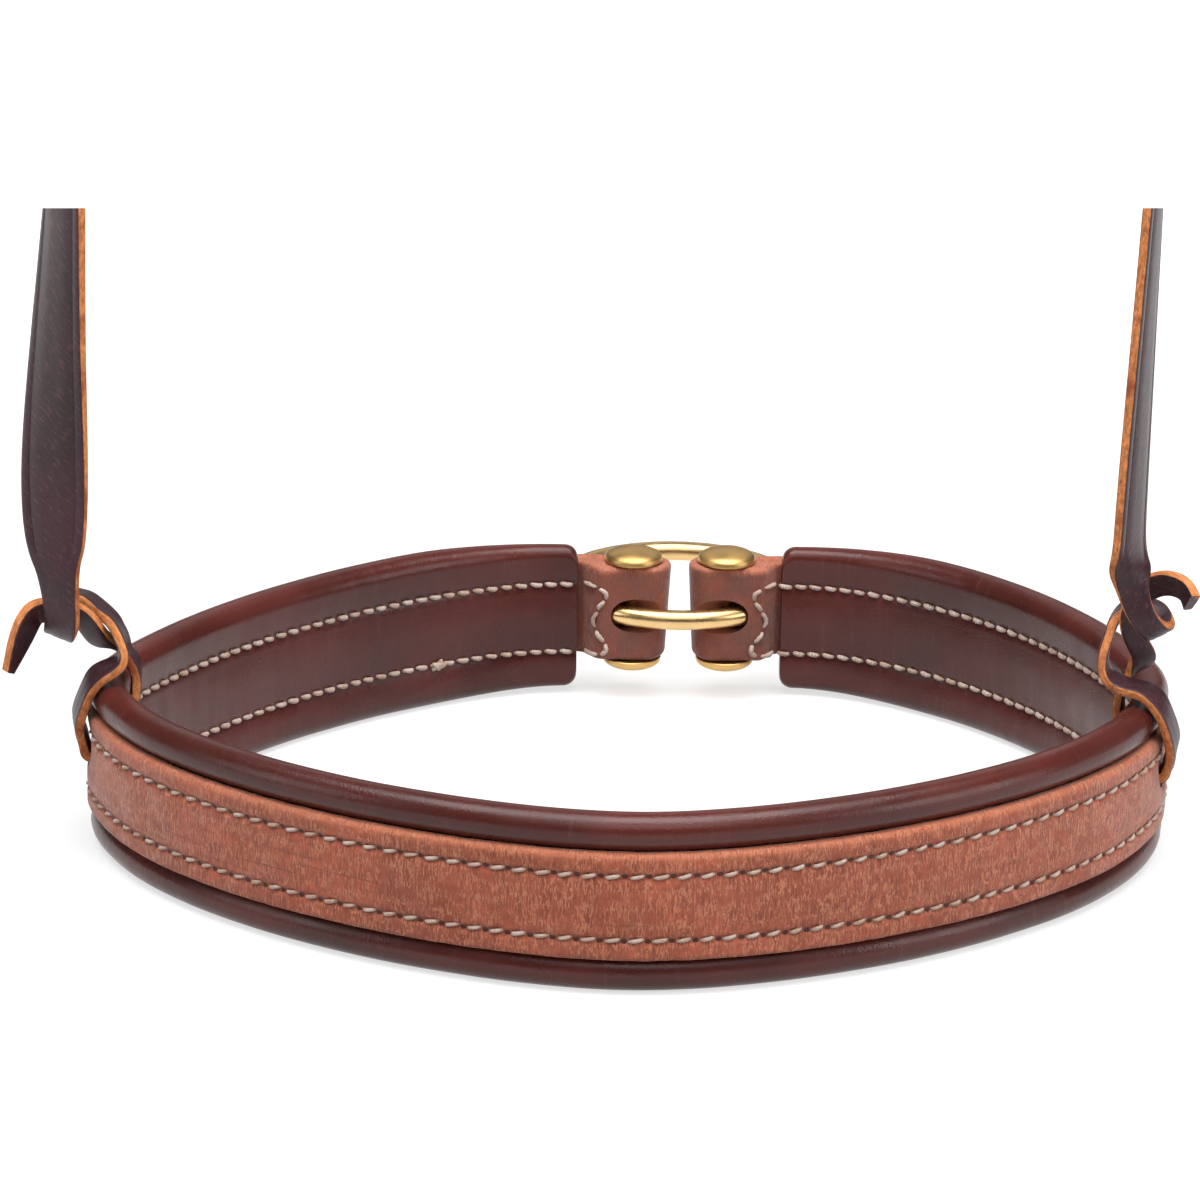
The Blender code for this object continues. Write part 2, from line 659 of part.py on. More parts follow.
# Hanger straps
# The tables are drawn for a thong 2.2 mm thick and 6.4 mm wide, and KNOT_UNIT follows its size.
# A strap's row: outwards and rearwards from the hanger's station, share of the way up from the
# hinge to the top, the turn of its front edge from inwards towards the nose, and share of width.
# A thong's row: outwards, rearwards and up from the wrap's top, front edge, and share of width.
LEFT_STRAP = (
    (7.9, -2, 1, 73, 1),
    (9.9, -2.4, 0.6, 60, 1),
    (11.2, -2.8, 0.26, 42, 1),
    (11.4, -3.5, 0.065, 38, 0.87),
    (11.3, -4.4, 0, 42, 0.67),
)
LEFT_KNOT_DOWN = (
    ((11.1, -5.1, 21.5), (-0.72, -0.68, 0), 1.38),
    ((10.9, -5.4, 17.6), (-0.7, -0.7, -0.1), 1.28),
    ((10.7, -5.2, 14.0), (-0.72, -0.66, -0.2), 1.22),
    ((10.6, -3.2, 10.6), (-0.8, -0.5, -0.3), 1.1),
    ((10.4, 0.0, 9.0), (-0.88, -0.3, -0.3), 1),
    ((10.0, 3.4, 9.8), (-0.95, -0.2, -0.1), 0.96),
    ((9.0, 5.6, 12.4), (-0.9, -0.3, 0), 1),
    ((7.0, 6.4, 14.2), (-0.7, -0.7, 0.2), 1),
    ((4.6, 6.4, 14.0), (-0.2, -0.95, 0), 1),
    ((2.2, 5.8, 12.4), (0, -1, 0), 1),
    ((-0.1, 4.2, 11.0), (0.1, -1, 0), 1),
    ((-1.8, 1.7, 9.6), (0.2, -1, 0.1), 1),
    ((-2.9, -1.3, 7.6), (0.3, -1, 0.1), 1),
    ((-3.1, -3.5, 5.0), (0.3, -0.95, 0), 1),
    ((-2.1, -4.2, 2.9), (0.1, -1, 0), 1),
    ((0.0, -4.3, 1.5), (-0.1, -1, -0.1), 1),
    ((2.8, -4.1, 0.1), (-0.2, -1, -0.1), 1),
)
LEFT_KNOT_UP = (
    ((-5.6, 4.4, 0.4), (0.2, -1, 0), 1),
    ((-4.0, 4.7, 2.6), (0.1, -1, 0.1), 1),
    ((-1.8, 4.4, 4.0), (-0.1, -0.95, 0.3), 1),
    ((0.4, 3.2, 5.2), (-0.4, -0.8, 0.5), 0.95),
    ((2.4, 1.8, 7.6), (-0.55, -0.65, 0.5), 0.9),
    ((4.3, 0.8, 10.8), (-0.5, -0.6, 0.6), 0.86),
    ((6.8, 0.4, 13.0), (-0.3, -0.45, 0.85), 0.82),
    ((9.6, 0.4, 13.6), (-0.05, -0.35, 0.95), 0.8),
    ((12.4, 0.3, 14.0), (0.2, -0.4, 0.9), 0.9),
    ((15.6, 0.2, 13.6), (0.3, -0.45, 0.85), 0.98),
    ((17.6, -0.2, 10.6), (0.7, -0.5, 0.5), 1),
    ((19.6, -0.8, 6.4), (0.8, -0.55, 0.3), 0.8),
    ((21.8, -1.6, 1.4), (0.8, -0.55, 0.3), 0.36),
)
RIGHT_STRAP = (
    (-3.2, -1, 1, 94, 1),
    (-3.8, -1.6, 0.55, 89, 1),
    (-4.2, -2.2, 0.215, 85, 1),
    (-4.2, -2.8, 0.055, 82, 0.93),
    (-3.9, -3.3, 0, 68, 0.79),
)
RIGHT_KNOT_DOWN = (
    ((-3.3, -3.7, 25.2), (-0.75, -0.65, -0.2), 1.2),
    ((-2.1, -3.9, 21.2), (-0.8, -0.5, -0.4), 1),
    ((-0.2, -3.8, 17.6), (-0.8, -0.35, -0.5), 0.9),
    ((1.7, -2.4, 15.0), (-0.8, -0.2, -0.5), 0.86),
    ((2.6, 0.6, 13.9), (-0.8, -0.2, -0.5), 0.86),
    ((2.2, 3.9, 14.3), (-0.8, -0.3, -0.5), 0.88),
    ((0.4, 6.3, 15.6), (-0.7, -0.5, -0.4), 0.95),
    ((-2.6, 7.1, 17.0), (-0.2, -0.95, 0), 1),
    ((-5.6, 6.5, 16.6), (0.1, -1, 0), 1),
    ((-7.9, 4.5, 14.2), (0, -1, 0), 1),
    ((-8.8, 1.5, 11.2), (0.1, -1, 0), 1),
    ((-9.1, -1.5, 8.2), (0.2, -0.95, 0), 1),
    ((-8.4, -3.3, 5.3), (0.2, -1, 0), 1),
    ((-6.4, -4.0, 3.0), (0, -1, -0.1), 1),
    ((-3.2, -4.2, 1.7), (-0.1, -1, -0.1), 1),
    ((0.2, -4.1, 1.5), (-0.1, -1, -0.1), 1),
    ((3.4, -3.9, -0.2), (-0.2, -1, -0.1), 1),
)
RIGHT_KNOT_UP = (
    ((-5.2, 4.7, 0.6), (0.1, -1, 0), 1),
    ((-3.4, 4.9, 3.0), (-0.2, -1, 0.1), 1),
    ((-1.7, 4.1, 5.2), (-0.6, -0.75, 0.2), 0.95),
    ((-1.6, 2.9, 7.8), (-0.85, -0.5, 0.1), 0.84),
    ((-2.9, 1.6, 10.6), (-0.9, -0.42, 0), 0.76),
    ((-3.8, 0.9, 13.6), (-0.92, -0.38, 0.1), 0.76),
    ((-4.0, 0.8, 16.6), (-0.95, -0.3, 0.2), 0.76),
    ((-3.0, 1.2, 19.8), (-0.85, -0.25, 0.45), 0.8),
    ((-0.9, 1.7, 22.6), (-0.55, -0.25, 0.8), 0.84),
    ((2.2, 1.7, 24.2), (-0.2, -0.25, 0.95), 0.86),
    ((5.4, 0.7, 24.6), (0.05, -0.4, 0.9), 0.9),
    ((8.2, -1.0, 24.0), (0.3, -0.5, 0.8), 0.9),
    ((9.9, -2.8, 22.2), (0.5, -0.5, 0.7), 0.85),
)


def hanger_strap(rows, hinge_up, top):
    """The strap's middle line from its cut top down to the hinge."""
    entries = []
    for outward, rearward, share, turn, width in rows:
        height = mixed(hinge_up * KNOT_UNIT, top, share)
        place = Vector((outward * KNOT_UNIT, rearward * KNOT_UNIT, height))
        edge = Vector((-cos(radians(turn)), -sin(radians(turn)), 0))
        entries.append((place, edge, HANGER_WIDTH * width))
    return entries


def knot_thong(rows):
    return [(Vector(place) * KNOT_UNIT, Vector(edge), THONG_WIDTH * width) for place, edge, width in rows]


def wrap_thong(slot_at, out_at, in_at, out_side, in_side, low):
    """The thong's path down outside the band, in at the slot and up inside, from knot to knot."""
    bend = SLOT_BEND
    out = WRAP_OUT
    inner = WRAP_IN
    out_knot = out_at * KNOT_UNIT
    in_knot = in_at * KNOT_UNIT
    path = [(ROLL_RADIUS + out_side * KNOT_UNIT, out_knot, WRAP_TOP - low * KNOT_UNIT),
            (out - 0.2 * KNOT_UNIT, mixed(slot_at, out_knot, 0.7), 0.574 * WRAP_TOP),
            (out, mixed(slot_at, out_knot, 0.3), 0.359 * WRAP_TOP),
            (out, slot_at, 1.33 * bend), (out - 0.3 * bend, slot_at, 0.3 * bend),
            (out - 1.27 * bend, slot_at, 0), (0, slot_at, 0), (inner + bend, slot_at, 0),
            (inner + 0.3 * bend, slot_at, 0.3 * bend), (inner, slot_at, 1.33 * bend),
            (inner, mixed(slot_at, in_knot, 0.4), 0.407 * WRAP_TOP),
            (inner - 0.4 * KNOT_UNIT, mixed(slot_at, in_knot, 0.8), 0.646 * WRAP_TOP),
            (-ROLL_RADIUS - in_side * KNOT_UNIT, in_knot, WRAP_TOP - 3 * KNOT_UNIT)]
    return [(Vector((outward, along, height - WRAP_TOP)), Vector((0, -1, 0)), THONG_WIDTH)
            for outward, along, height in path]


def strap_frames(entries, per_span=2):
    """Point, direction of travel, front edge and half width at each step along a smooth strap."""
    places = [place for place, edge, width in entries]
    edges = [edge.normalized() for place, edge, width in entries]
    widths = [Vector((width, 0, 0)) for place, edge, width in entries]
    tracks = []
    for track in (places, edges, widths):
        extended = [track[0] * 3 - track[1] * 2, track[0] * 2 - track[1]] + track
        extended += [track[-1] * 2 - track[-2], track[-1] * 3 - track[-2] * 2]
        tracks.append(spline_points(pass_through(extended), per_span))
    points, directions, spans = tracks
    frames = []
    for index, point in enumerate(points):
        before = points[max(index - 1, 0)]
        after = points[min(index + 1, len(points) - 1)]
        along = (after - before).normalized()
        edge = (directions[index] - along * directions[index].dot(along)).normalized()
        frames.append((point, along, edge, spans[index].x / 2))
    return frames


def strap_ring(frame, shift=0.0, deep=HANGER_THICKNESS / 2):
    """A bevelled rectangular section of the strap, moved along its line by a shift."""
    point, along, edge, half = frame
    face = edge.cross(along)
    bevel = HANGER_BEVEL * 2 * deep / HANGER_THICKNESS
    corners = [(half - bevel, deep), (half, deep - bevel), (half, bevel - deep), (half - bevel, -deep),
               (bevel - half, -deep), (-half, bevel - deep), (-half, deep - bevel), (bevel - half, deep)]
    return [point + along * shift + edge * across + face * lift for across, lift in corners]


def hanger_point(distance, spot):
    """A point given in the hanger's own directions, at its station on the band."""
    rearward = spot.y if distance > FRONT_REACH else -spot.y
    return band_point(distance + rearward, spot.x, spot.z + WRAP_TOP)


def hanger_frames(side):
    """The whole strap of one hanger: its station, its frames and the index of its hinge."""
    if side == "left":
        distance = FRONT_REACH + LEFT_HANGER_AT
        strap = hanger_strap(LEFT_STRAP, 26, LEFT_HANGER_TOP)
        down, up = LEFT_KNOT_DOWN, LEFT_KNOT_UP
        wrap = wrap_thong(LEFT_SLOT_AT, -3.8, 4.0, 1.0, 2.4, 3.0)
    else:
        distance = FRONT_REACH - RIGHT_HANGER_AT
        strap = hanger_strap(RIGHT_STRAP, 29, RIGHT_HANGER_TOP)
        down, up = RIGHT_KNOT_DOWN, RIGHT_KNOT_UP
        wrap = wrap_thong(RIGHT_SLOT_AT, -3.3, 4.3, 1.6, 2.2, 3.8)
    frames = strap_frames(strap + knot_thong(down) + wrap + knot_thong(up))
    return distance, frames, 2 * (len(strap) - 1)


def make_hanger(side, collection, material):
    """One long strap: its free part, round-ended at the hinge, and its knot round the band."""
    distance, frames, hinge = hanger_frames(side)
    deep = HANGER_THICKNESS / 2
    free = [strap_ring(frame) for frame in frames[:hinge + 1]]
    for turn in (30, 60, 80):
        angle = radians(turn)
        free.append(strap_ring(frames[hinge], deep * sin(angle), deep * cos(angle)))
    knot = [strap_ring(frames[hinge], deep + GAP)] + [strap_ring(frame) for frame in frames[hinge + 1:]]
    for name, rings in ((side + "_hanger_strap", free), (side + "_hanger_knot", knot)):
        placed = [[hanger_point(distance, point) for point in ring] for ring in rings]
        sweep(name, placed, collection, material)


def clear_scene():
    for item in list(bpy.data.objects):
        bpy.data.objects.remove(item)


def new_collection(name):
    collection = bpy.data.collections.new(name)
    bpy.context.scene.collection.children.link(collection)
    return collection


def main():
    clear_scene()
    parts = new_collection("leather_noseband")
    cutters = new_collection("cutters")
    harness = new_material("harness_leather", (0.33, 0.13, 0.07), 0.5)
    burgundy = new_material("burgundy_leather", (0.11, 0.035, 0.03), 0.35)
    latigo = new_material("latigo_leather", (0.06, 0.03, 0.033), 0.45)
    brass = new_material("brass", (0.75, 0.52, 0.22), 0.25, 1.0)
    thread = new_material("waxed_thread", (0.72, 0.62, 0.52), 0.7)
    cord = new_material("filler_cord", (0.6, 0.52, 0.4), 0.9)
    felt = new_material("filler_felt", (0.35, 0.3, 0.25), 0.9)

    blend = BACKING_SETBACK + TAB_BLEND
    stations = band_stations(blend, LOOP_LENGTH - blend)
    stations = [BACKING_SETBACK] + stations + [LOOP_LENGTH - BACKING_SETBACK]
    layers = [make_cover(stations, parts, burgundy), make_fillings(stations, parts, cord, felt),
              make_strip(stations, parts, harness)]
    cut(layers[-1], make_slot_cutter(cutters, brass))
    for side in ("left", "right"):
        slot = make_hanger_slot(side, cutters, brass)
        for layer in layers:
            cut(layer, slot)
    make_rows(stations, parts, thread)
    make_ring(parts, brass)
    for side in ("left", "right"):
        make_closing(side, parts, thread)
        make_post(side, parts, brass)
        make_hanger(side, parts, latigo)


main()
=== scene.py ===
"""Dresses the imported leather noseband: rolled backing, stitched strip, brass ring and hangers.

The frame is in metres, +Z up, with -Y at the bridge of the nose and +Y at the ring under the jaw.
The settings, the lamps and the camera are in metres. Lengths in the code are written as millimetres
times MM, and the hangers are worked out in plain millimetres until they are laid on the band.
"""
from bisect import bisect_right
from math import asin, atan2, ceil, cos, exp, pi, radians, sin, sqrt
from random import Random
from typing import NamedTuple

import bmesh
import bpy
from bpy.props import FloatProperty, FloatVectorProperty, IntProperty, PointerProperty
from mathutils import Matrix, Vector, noise


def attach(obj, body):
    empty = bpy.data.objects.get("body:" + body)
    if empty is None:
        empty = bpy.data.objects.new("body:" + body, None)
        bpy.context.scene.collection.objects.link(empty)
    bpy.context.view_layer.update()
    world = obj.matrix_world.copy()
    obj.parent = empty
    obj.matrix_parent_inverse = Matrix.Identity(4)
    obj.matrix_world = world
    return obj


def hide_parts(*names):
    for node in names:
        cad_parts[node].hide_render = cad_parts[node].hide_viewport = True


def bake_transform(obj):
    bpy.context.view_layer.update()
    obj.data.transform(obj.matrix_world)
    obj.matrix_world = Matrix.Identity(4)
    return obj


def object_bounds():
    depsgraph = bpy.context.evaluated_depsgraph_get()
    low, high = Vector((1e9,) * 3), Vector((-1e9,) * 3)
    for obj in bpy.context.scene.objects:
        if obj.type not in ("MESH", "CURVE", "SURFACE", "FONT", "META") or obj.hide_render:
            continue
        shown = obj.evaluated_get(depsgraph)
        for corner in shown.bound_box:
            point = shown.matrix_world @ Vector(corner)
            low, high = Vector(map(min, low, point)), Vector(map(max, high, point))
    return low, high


bl_info = {
    "name": "Leather Noseband",
    "version": (1, 0, 0),
    "blender": (4, 5, 0),
    "location": "View3D > Sidebar > Noseband",
    "description": "Builds the leather, thread and brass of a padded noseband around its frame",
    "category": "Object",
}

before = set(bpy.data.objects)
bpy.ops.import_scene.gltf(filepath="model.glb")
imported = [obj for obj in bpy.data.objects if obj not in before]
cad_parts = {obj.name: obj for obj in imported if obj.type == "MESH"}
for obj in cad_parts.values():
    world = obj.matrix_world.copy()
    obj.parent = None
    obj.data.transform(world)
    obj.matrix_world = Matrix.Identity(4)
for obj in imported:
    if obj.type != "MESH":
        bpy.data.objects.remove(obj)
CAD_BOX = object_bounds()
MM = 0.001
SIDES = ("left", "right")

# Points nearer than this are welded: everywhere, in thread, and along a cut
WELD = 1e-6
THREAD_WELD = 4e-7
CUT_WELD = 1e-7


# Settings
def metres(name, default, about):
    """A setting in metres."""
    return FloatProperty(name=name, unit="LENGTH", default=default, description=about)


def ratio(name, default, about):
    """A setting without a unit."""
    return FloatProperty(name=name, default=default, description=about)


def shade(name, default, about):
    """A colour setting."""
    return FloatVectorProperty(name=name, subtype="COLOR", default=default, description=about)


class NosebandPlan(bpy.types.PropertyGroup):
    """Plan of the loop on the centre line of the rolled edges."""
    half_width: metres("Half width", 0.1151, "Half the loop's width across the nose")
    front_depth: metres("Front depth", 0.0856, "From the widest line to the front of the loop")
    rear_depth: metres("Rear depth", 0.1016, "From the widest line to the rear of the loop")
    front_power: ratio("Front roundness", 1.64, "Higher powers square the front curve")
    rear_power: ratio("Rear roundness", 1.6, "Higher powers square the rear curve")
    rear_flat: metres("Flat rear", 0.054, "Straight stretch at the rear")
    rear_sway: ratio("Rear sway", 0.14, "How far the rear leans to the right for its depth")


class NosebandBand(bpy.types.PropertyGroup):
    """Sections of the rolled backing and of the strip on it."""
    height: metres("Band height", 0.038397, "Height of the backing over both rolls")
    roll_radius: metres("Roll radius", 0.004, "Outer radius of a rolled edge")
    cover: metres("Cover thickness", 0.0016, "Thickness of the soft cover leather")
    setback: metres("Backing setback", 0.0246, "From the middle of the rear gap to the backing's end")
    strip_height: metres("Strip height", 0.0234, "Height of the outer strip")
    strip_thickness: metres("Strip thickness", 0.0038, "Thickness of the outer strip")
    tab_thickness: metres("Tab thickness", 0.003, "Thickness of the strip where it folds")
    station: metres("Station length", 0.0012, "Distance between two sections of the band")


class NosebandThread(bpy.types.PropertyGroup):
    """The stitching."""
    radius: metres("Thread radius", 0.00046, "Radius of the twisted thread")
    outer_row: metres("Outer row", 0.0069, "Height of the strip's rows over the middle")
    inner_row: metres("Inner row", 0.0085, "Height of the lining's rows over the middle")
    pitch: metres("Stitch pitch", 0.0046, "Distance from one needle hole to the next")
    inner_pitch: metres("Inner pitch", 0.0039, "The same on the lining")
    slant: FloatProperty(name="Slant", subtype="ANGLE", default=radians(13),
                         description="Slant of a stitch against its row")


class NosebandHanger(bpy.types.PropertyGroup):
    """The hanger straps and their thongs."""
    width: metres("Strap width", 0.0157, "Width of the strap")
    thickness: metres("Strap thickness", 0.0022, "Thickness of strap and thong")
    thong: metres("Thong width", 0.0064, "Width of the thong that is knotted")
    left_at: metres("Left station", 0.148, "From the front middle to the left hanger, along the band")
    right_at: metres("Right station", 0.1405, "From the front middle to the right hanger, along the band")


class NosebandBrass(bpy.types.PropertyGroup):
    """The ring and the posts."""
    ring_inner: metres("Ring inside", 0.0508, "Inner diameter of the ring")
    ring_wire: metres("Ring wire", 0.0048, "Diameter of the ring's wire")
    head_radius: metres("Head radius", 0.007, "Radius of a post's domed head")
    segments: IntProperty(name="Segments", default=72, min=12,
                          description="Sides of a turned piece")


class NosebandColours(bpy.types.PropertyGroup):
    """The colours of the finishes."""
    harness: shade("Harness leather", (0.47, 0.112, 0.058), "Colour of the outer strip")
    burgundy: shade("Backing leather", (0.083, 0.0155, 0.0118), "Colour of the rolled backing")
    latigo: shade("Latigo leather", (0.036, 0.0125, 0.0165), "Colour of the hangers")
    raw_edge: shade("Raw edge", (0.72, 0.26, 0.088), "Colour of the hangers' cut edges")
    brass: shade("Brass", (0.74, 0.5, 0.235), "Colour of the ring and posts")
    thread: shade("Thread", (0.53, 0.42, 0.36), "Colour of the stitching")


SETTINGS = (("noseband_plan", NosebandPlan), ("noseband_band", NosebandBand),
            ("noseband_thread", NosebandThread), ("noseband_hanger", NosebandHanger),
            ("noseband_brass", NosebandBrass), ("noseband_colours", NosebandColours))

# Waves of the leather: depth, closeness and seed
COVER_WAVE = (0.12 * MM, 60, 3.1)
LINING_WAVE = (0.1 * MM, 260, 8.3)
LINING_WAVE_FROM = -2 * MM
STRIP_WAVE = (0.14 * MM, 90, 5.5)
STRIP_EDGE_WAVE = (0.1 * MM, 330, 9.2)
STRIP_ROUGH = (0.07 * MM, 900, 1.7)

# Fixed sizes of the backing
GAP = 0.3 * MM
ROLL_PROUD = 1.0 * MM
ROLL_LEAVES = radians(12)
FLAP_MARGIN = 2.9 * MM
LINING_GROOVE = 0.3 * MM
LINING_PUFF = 0.55 * MM
LINING_DIP = 0.12 * MM
LEAST_HOLLOW = 0.1 * MM
GROOVE_HALF = 0.8 * MM
COVER_ZERO = 45
END_TAPER = 42 * MM
END_HEIGHT = 35.6 * MM
END_ROLL_RADIUS = 2.6 * MM
END_ROLL_DRAW = 0.55
END_CORNER = 3.2 * MM
END_CLOSING = 2.6 * MM
END_STATIONS = (0, 0.15, 0.35, 0.6, 0.9, 1.3, 1.8, 2.4, 3.0)
FILLER_INSET = 1.5 * MM
CORD_SLACK = 0.55 * MM
CORD_SIDES = 12
CORD_LAY = 420

# Where a thong draws the band in
PRESS_DEPTH = 1.7 * MM
PRESS_HALF_LENGTH = 5.2 * MM
PRESS_RISE = 3.4 * MM
PRESS_HALF_HEIGHT = 4.6 * MM
PRESS_FADE = 2.4 * MM
THONG_SLOT_SPARE = 2.4 * MM
THONG_SLOT_ROOM = 1.6 * MM
THONG_SLOT_DEPTH = 16 * MM
THONG_SLOT_MIDDLE = 0.8 * MM

# Strip and tabs
GROOVE_DEPTH = 0.55 * MM
STRIP_CROWN = 0.2 * MM
STRIP_BACK_ROUND = 1.9 * MM
STRIP_FRONT_ROUND = 1.5 * MM
STRIP_CORNER = 5.0 * MM
CORNER_START = 1.5 * MM
GROOVE_FADE = 4 * MM
TAB_END = 2.2 * MM
TAB_CHANNEL = 6.0 * MM
TAB_TIP_THICKNESS = 2.6 * MM
TAB_TAPER = 5.9 * MM
TAB_BLEND = 6.0 * MM
TAB_RISE = 2.4 * MM
TAB_FADE = 8 * MM
TAB_LEAN = 0.06
LEAN_FADE = 9 * MM
TAB_STEPS = 12
TIP_CLEARANCE = 0.06 * MM
TIP_LAP = 0.4 * MM
PLUG_FROM = 13.9 * MM
PLUG_RAMP = 1.6 * MM
FOLD_STEPS = 24

# Ring, its slots and the posts
RING_STAND_OFF = 1.8 * MM
RING_SAG = 0.6 * MM
SLOT_SIDE = 0.55 * MM
SLOT_OVER = 1.85 * MM
SLOT_RISE = 0.25 * MM
HEAD_RIM = 0.7 * MM
HEAD_DOME = 2.5 * MM
HEAD_BEVEL = 0.15 * MM
SHANK_RADIUS = 1.2 * MM
SHANK_STOP = 6.4 * MM
BORE_RADIUS = 1.5 * MM
BORE_SPARE = 2.0 * MM
POST_RADIUS = 2.1 * MM
RING_ROUGH = (0.26, 0.36)
POST_ROUGH = (0.36, 0.48)

# Stitching, with the tangle where the lower row of the lining is tied off
SEED = 27
THREAD_TWIST = 5600
PLY_WAIST = 0.74
PLY_BULGE = 0.32
STITCH_STEPS = 20
STITCH_LIFT = 0.42 * MM
STITCH_DIVE = 1.0 * MM
OUTER_STITCH = 3.0 * MM
INNER_STITCH = 2.9 * MM
INNER_PLUMP = 1.35
HOLE_RADIUS = 0.42 * MM
HOLE_RIM = 0.6 * MM
LINING_HOLE_RISE = 0.9 * MM
TIE_TURNS = 5
TIE_FROM = 62 * MM
TIE_LEAN = 0.3
TIE_LENGTH = 3.4 * MM
TIE_HEIGHT = 2.2 * MM
CLOSING_RISE = 0.6 * MM

# Hangers, with lengths in millimetres, and the thong that their tables are drawn for
HANGER_STEPS = 8
STRAP_ZERO = 24
DRAWN_THONG = 6.4
DRAWN_THICKNESS = 2.2
TOP_SPARE = 5.0
WRAP_CLEARANCE = 0.6
THREAD_ROOM = 1.1
BEND_INSIDE = 1.9

# Fillers
CORD_TONE = (0.6, 0.52, 0.4)
FELT_TONE = (0.35, 0.3, 0.25)

# Stage and camera
FLOOR_HALF = 3.0
FLOOR_TONE = (0.38, 0.38, 0.38)
FLOOR_GAP = 0.02 * MM
FLOOR_FADE = (0.25, 0.6, 0.66, 1.05)
FLOOR_GLOSS = 1.2
WORLD_LEVEL = 0.08
WORLD_GLOSS = 0.12
LAMP_AIM = Vector((0, 0, 0.02))
# Each lamp's name, place, size and power
LAMPS = (
    ("overhead_bank", (0, -0.12, 1.1), (1.3, 0.75), 20),
    ("front_bank", (0.1, -1.05, 1.15), (1.3, 0.7), 6.5),
    ("left_panel", (-1.1, -0.4, 0.45), (0.5, 0.6), 2.4),
    ("back_panel", (0, 1.3, 0.8), (1.6, 0.7), 2.2),
    ("right_panel", (1.1, -0.5, 0.4), (0.6, 0.6), 4.6),
)
# The straps' tops are cut along a line of sight this far up the picture
CUT_RISE = 0.0852
CAMERA_LENS = 138
CAMERA_AT = Vector((-0.02336, -0.96234, 0.3466))
CAMERA_VIEW = Vector((0.0166, 0.9509, -0.309))
CAMERA_ROLL = radians(0.95)


# Lines and curves
def mixed(low, high, share):
    """The value a share of the way from low to high."""
    return low + (high - low) * share


def eased(share):
    """A share held between 0 and 1, with a soft start and end."""
    share = min(max(share, 0), 1)
    return share * share * (3 - 2 * share)


def pass_through(points):
    """Control points that make a cubic B-spline pass very near the given points."""
    return [b - (a - b * 2 + c) / 6 for a, b, c in zip(points, points[1:], points[2:])]


def spline_points(controls, per_span):
    """Points along a cubic B-spline, from its second control point to its last but one."""
    points = []
    for a, b, c, d in zip(controls, controls[1:], controls[2:], controls[3:]):
        for k in range(per_span):
            u = k / per_span
            points.append((a * (1 - u) ** 3 + b * (3 * u ** 3 - 6 * u * u + 4)
                           + c * (3 * u + 3 * u * u - 3 * u ** 3 + 1) + d * u ** 3) / 6)
    points.append((controls[-3] + controls[-2] * 4 + controls[-1]) / 6)
    return points


def smooth_line(points, per_span):
    """A smooth line through points, run on straight past its two ends."""
    first, second, near, last = points[0], points[1], points[-2], points[-1]
    extended = [first * 3 - second * 2, first * 2 - second] + points
    extended += [last * 2 - near, last * 3 - near * 2]
    return spline_points(pass_through(extended), per_span)


class Loop:
    """The centre line of the rolled edges, as a smooth line measured from the rear gap."""

    def __init__(self, plan, steps=6, per_span=8):
        self.rear_depth = plan.rear_depth
        self.front_depth = plan.front_depth
        self.sway = plan.rear_sway
        knots = []
        for step in range(-steps, steps + 1):
            angle = radians(90 * step / steps)
            start = 0 if step <= 0 else plan.rear_flat / 2
            depth = plan.front_depth if step <= 0 else plan.rear_depth
            power = plan.front_power if step <= 0 else plan.rear_power
            across = abs(cos(angle)) / (plan.half_width - start)
            along = abs(sin(angle)) / depth
            radius = (across ** power + along ** power) ** (-1 / power)
            knots.append(Vector((start + radius * cos(angle), radius * sin(angle))))
        front = [Vector((-knots[k].x, knots[k].y)) for k in (2, 1)]
        rear = [Vector((plan.rear_flat - knots[k].x, knots[k].y)) for k in (-2, -3)]
        half = spline_points(pass_through(front + knots + rear), per_span)
        half.append(Vector((0, half[-1].y)))
        self.points = [self.settled(point.x, point.y) for point in reversed(half)]
        self.points += [self.settled(-point.x, point.y) for point in half[1:]]
        self.reach = [0.0]
        for near, far in zip(self.points, self.points[1:]):
            self.reach.append(self.reach[-1] + (far - near).length)
        self.length = self.reach[-1]
        self.front = self.reach[len(self.points) // 2]

    def settled(self, x, y):
        return Vector((x + self.sway * max(y, 0), y - (self.rear_depth - self.front_depth) / 2))

    def direction(self, index):
        before = self.points[max(index - 1, 0)]
        after = self.points[min(index + 1, len(self.points) - 1)]
        return (after - before).normalized()

    def place(self, distance):
        """The point and the direction of travel at a distance from the rear gap."""
        index = min(max(bisect_right(self.reach, distance) - 1, 0), len(self.points) - 2)
        share = (distance - self.reach[index]) / (self.reach[index + 1] - self.reach[index])
        point = self.points[index].lerp(self.points[index + 1], share)
        clamped = min(max(share, 0), 1)
        along = self.direction(index).lerp(self.direction(index + 1), clamped).normalized()
        return point, along

    def to_end(self, distance):
        """How far the nearer end of the loop is, at the rear gap."""
        return min(distance, self.length - distance)

    def outwards(self, distance):
        along = self.place(distance)[1]
        return Vector((-along.y, along.x, 0))

    def at(self, distance, outward, height):
        point, along = self.place(distance)
        return Vector((point.x - along.y * outward, point.y + along.x * outward, height))

    def ring(self, distance, section):
        """A section of (outward, height) points stood up at one distance."""
        point, along = self.place(distance)
        return [Vector((point.x - along.y * spot[0], point.y + along.x * spot[0], spot[1]))
                for spot in section]


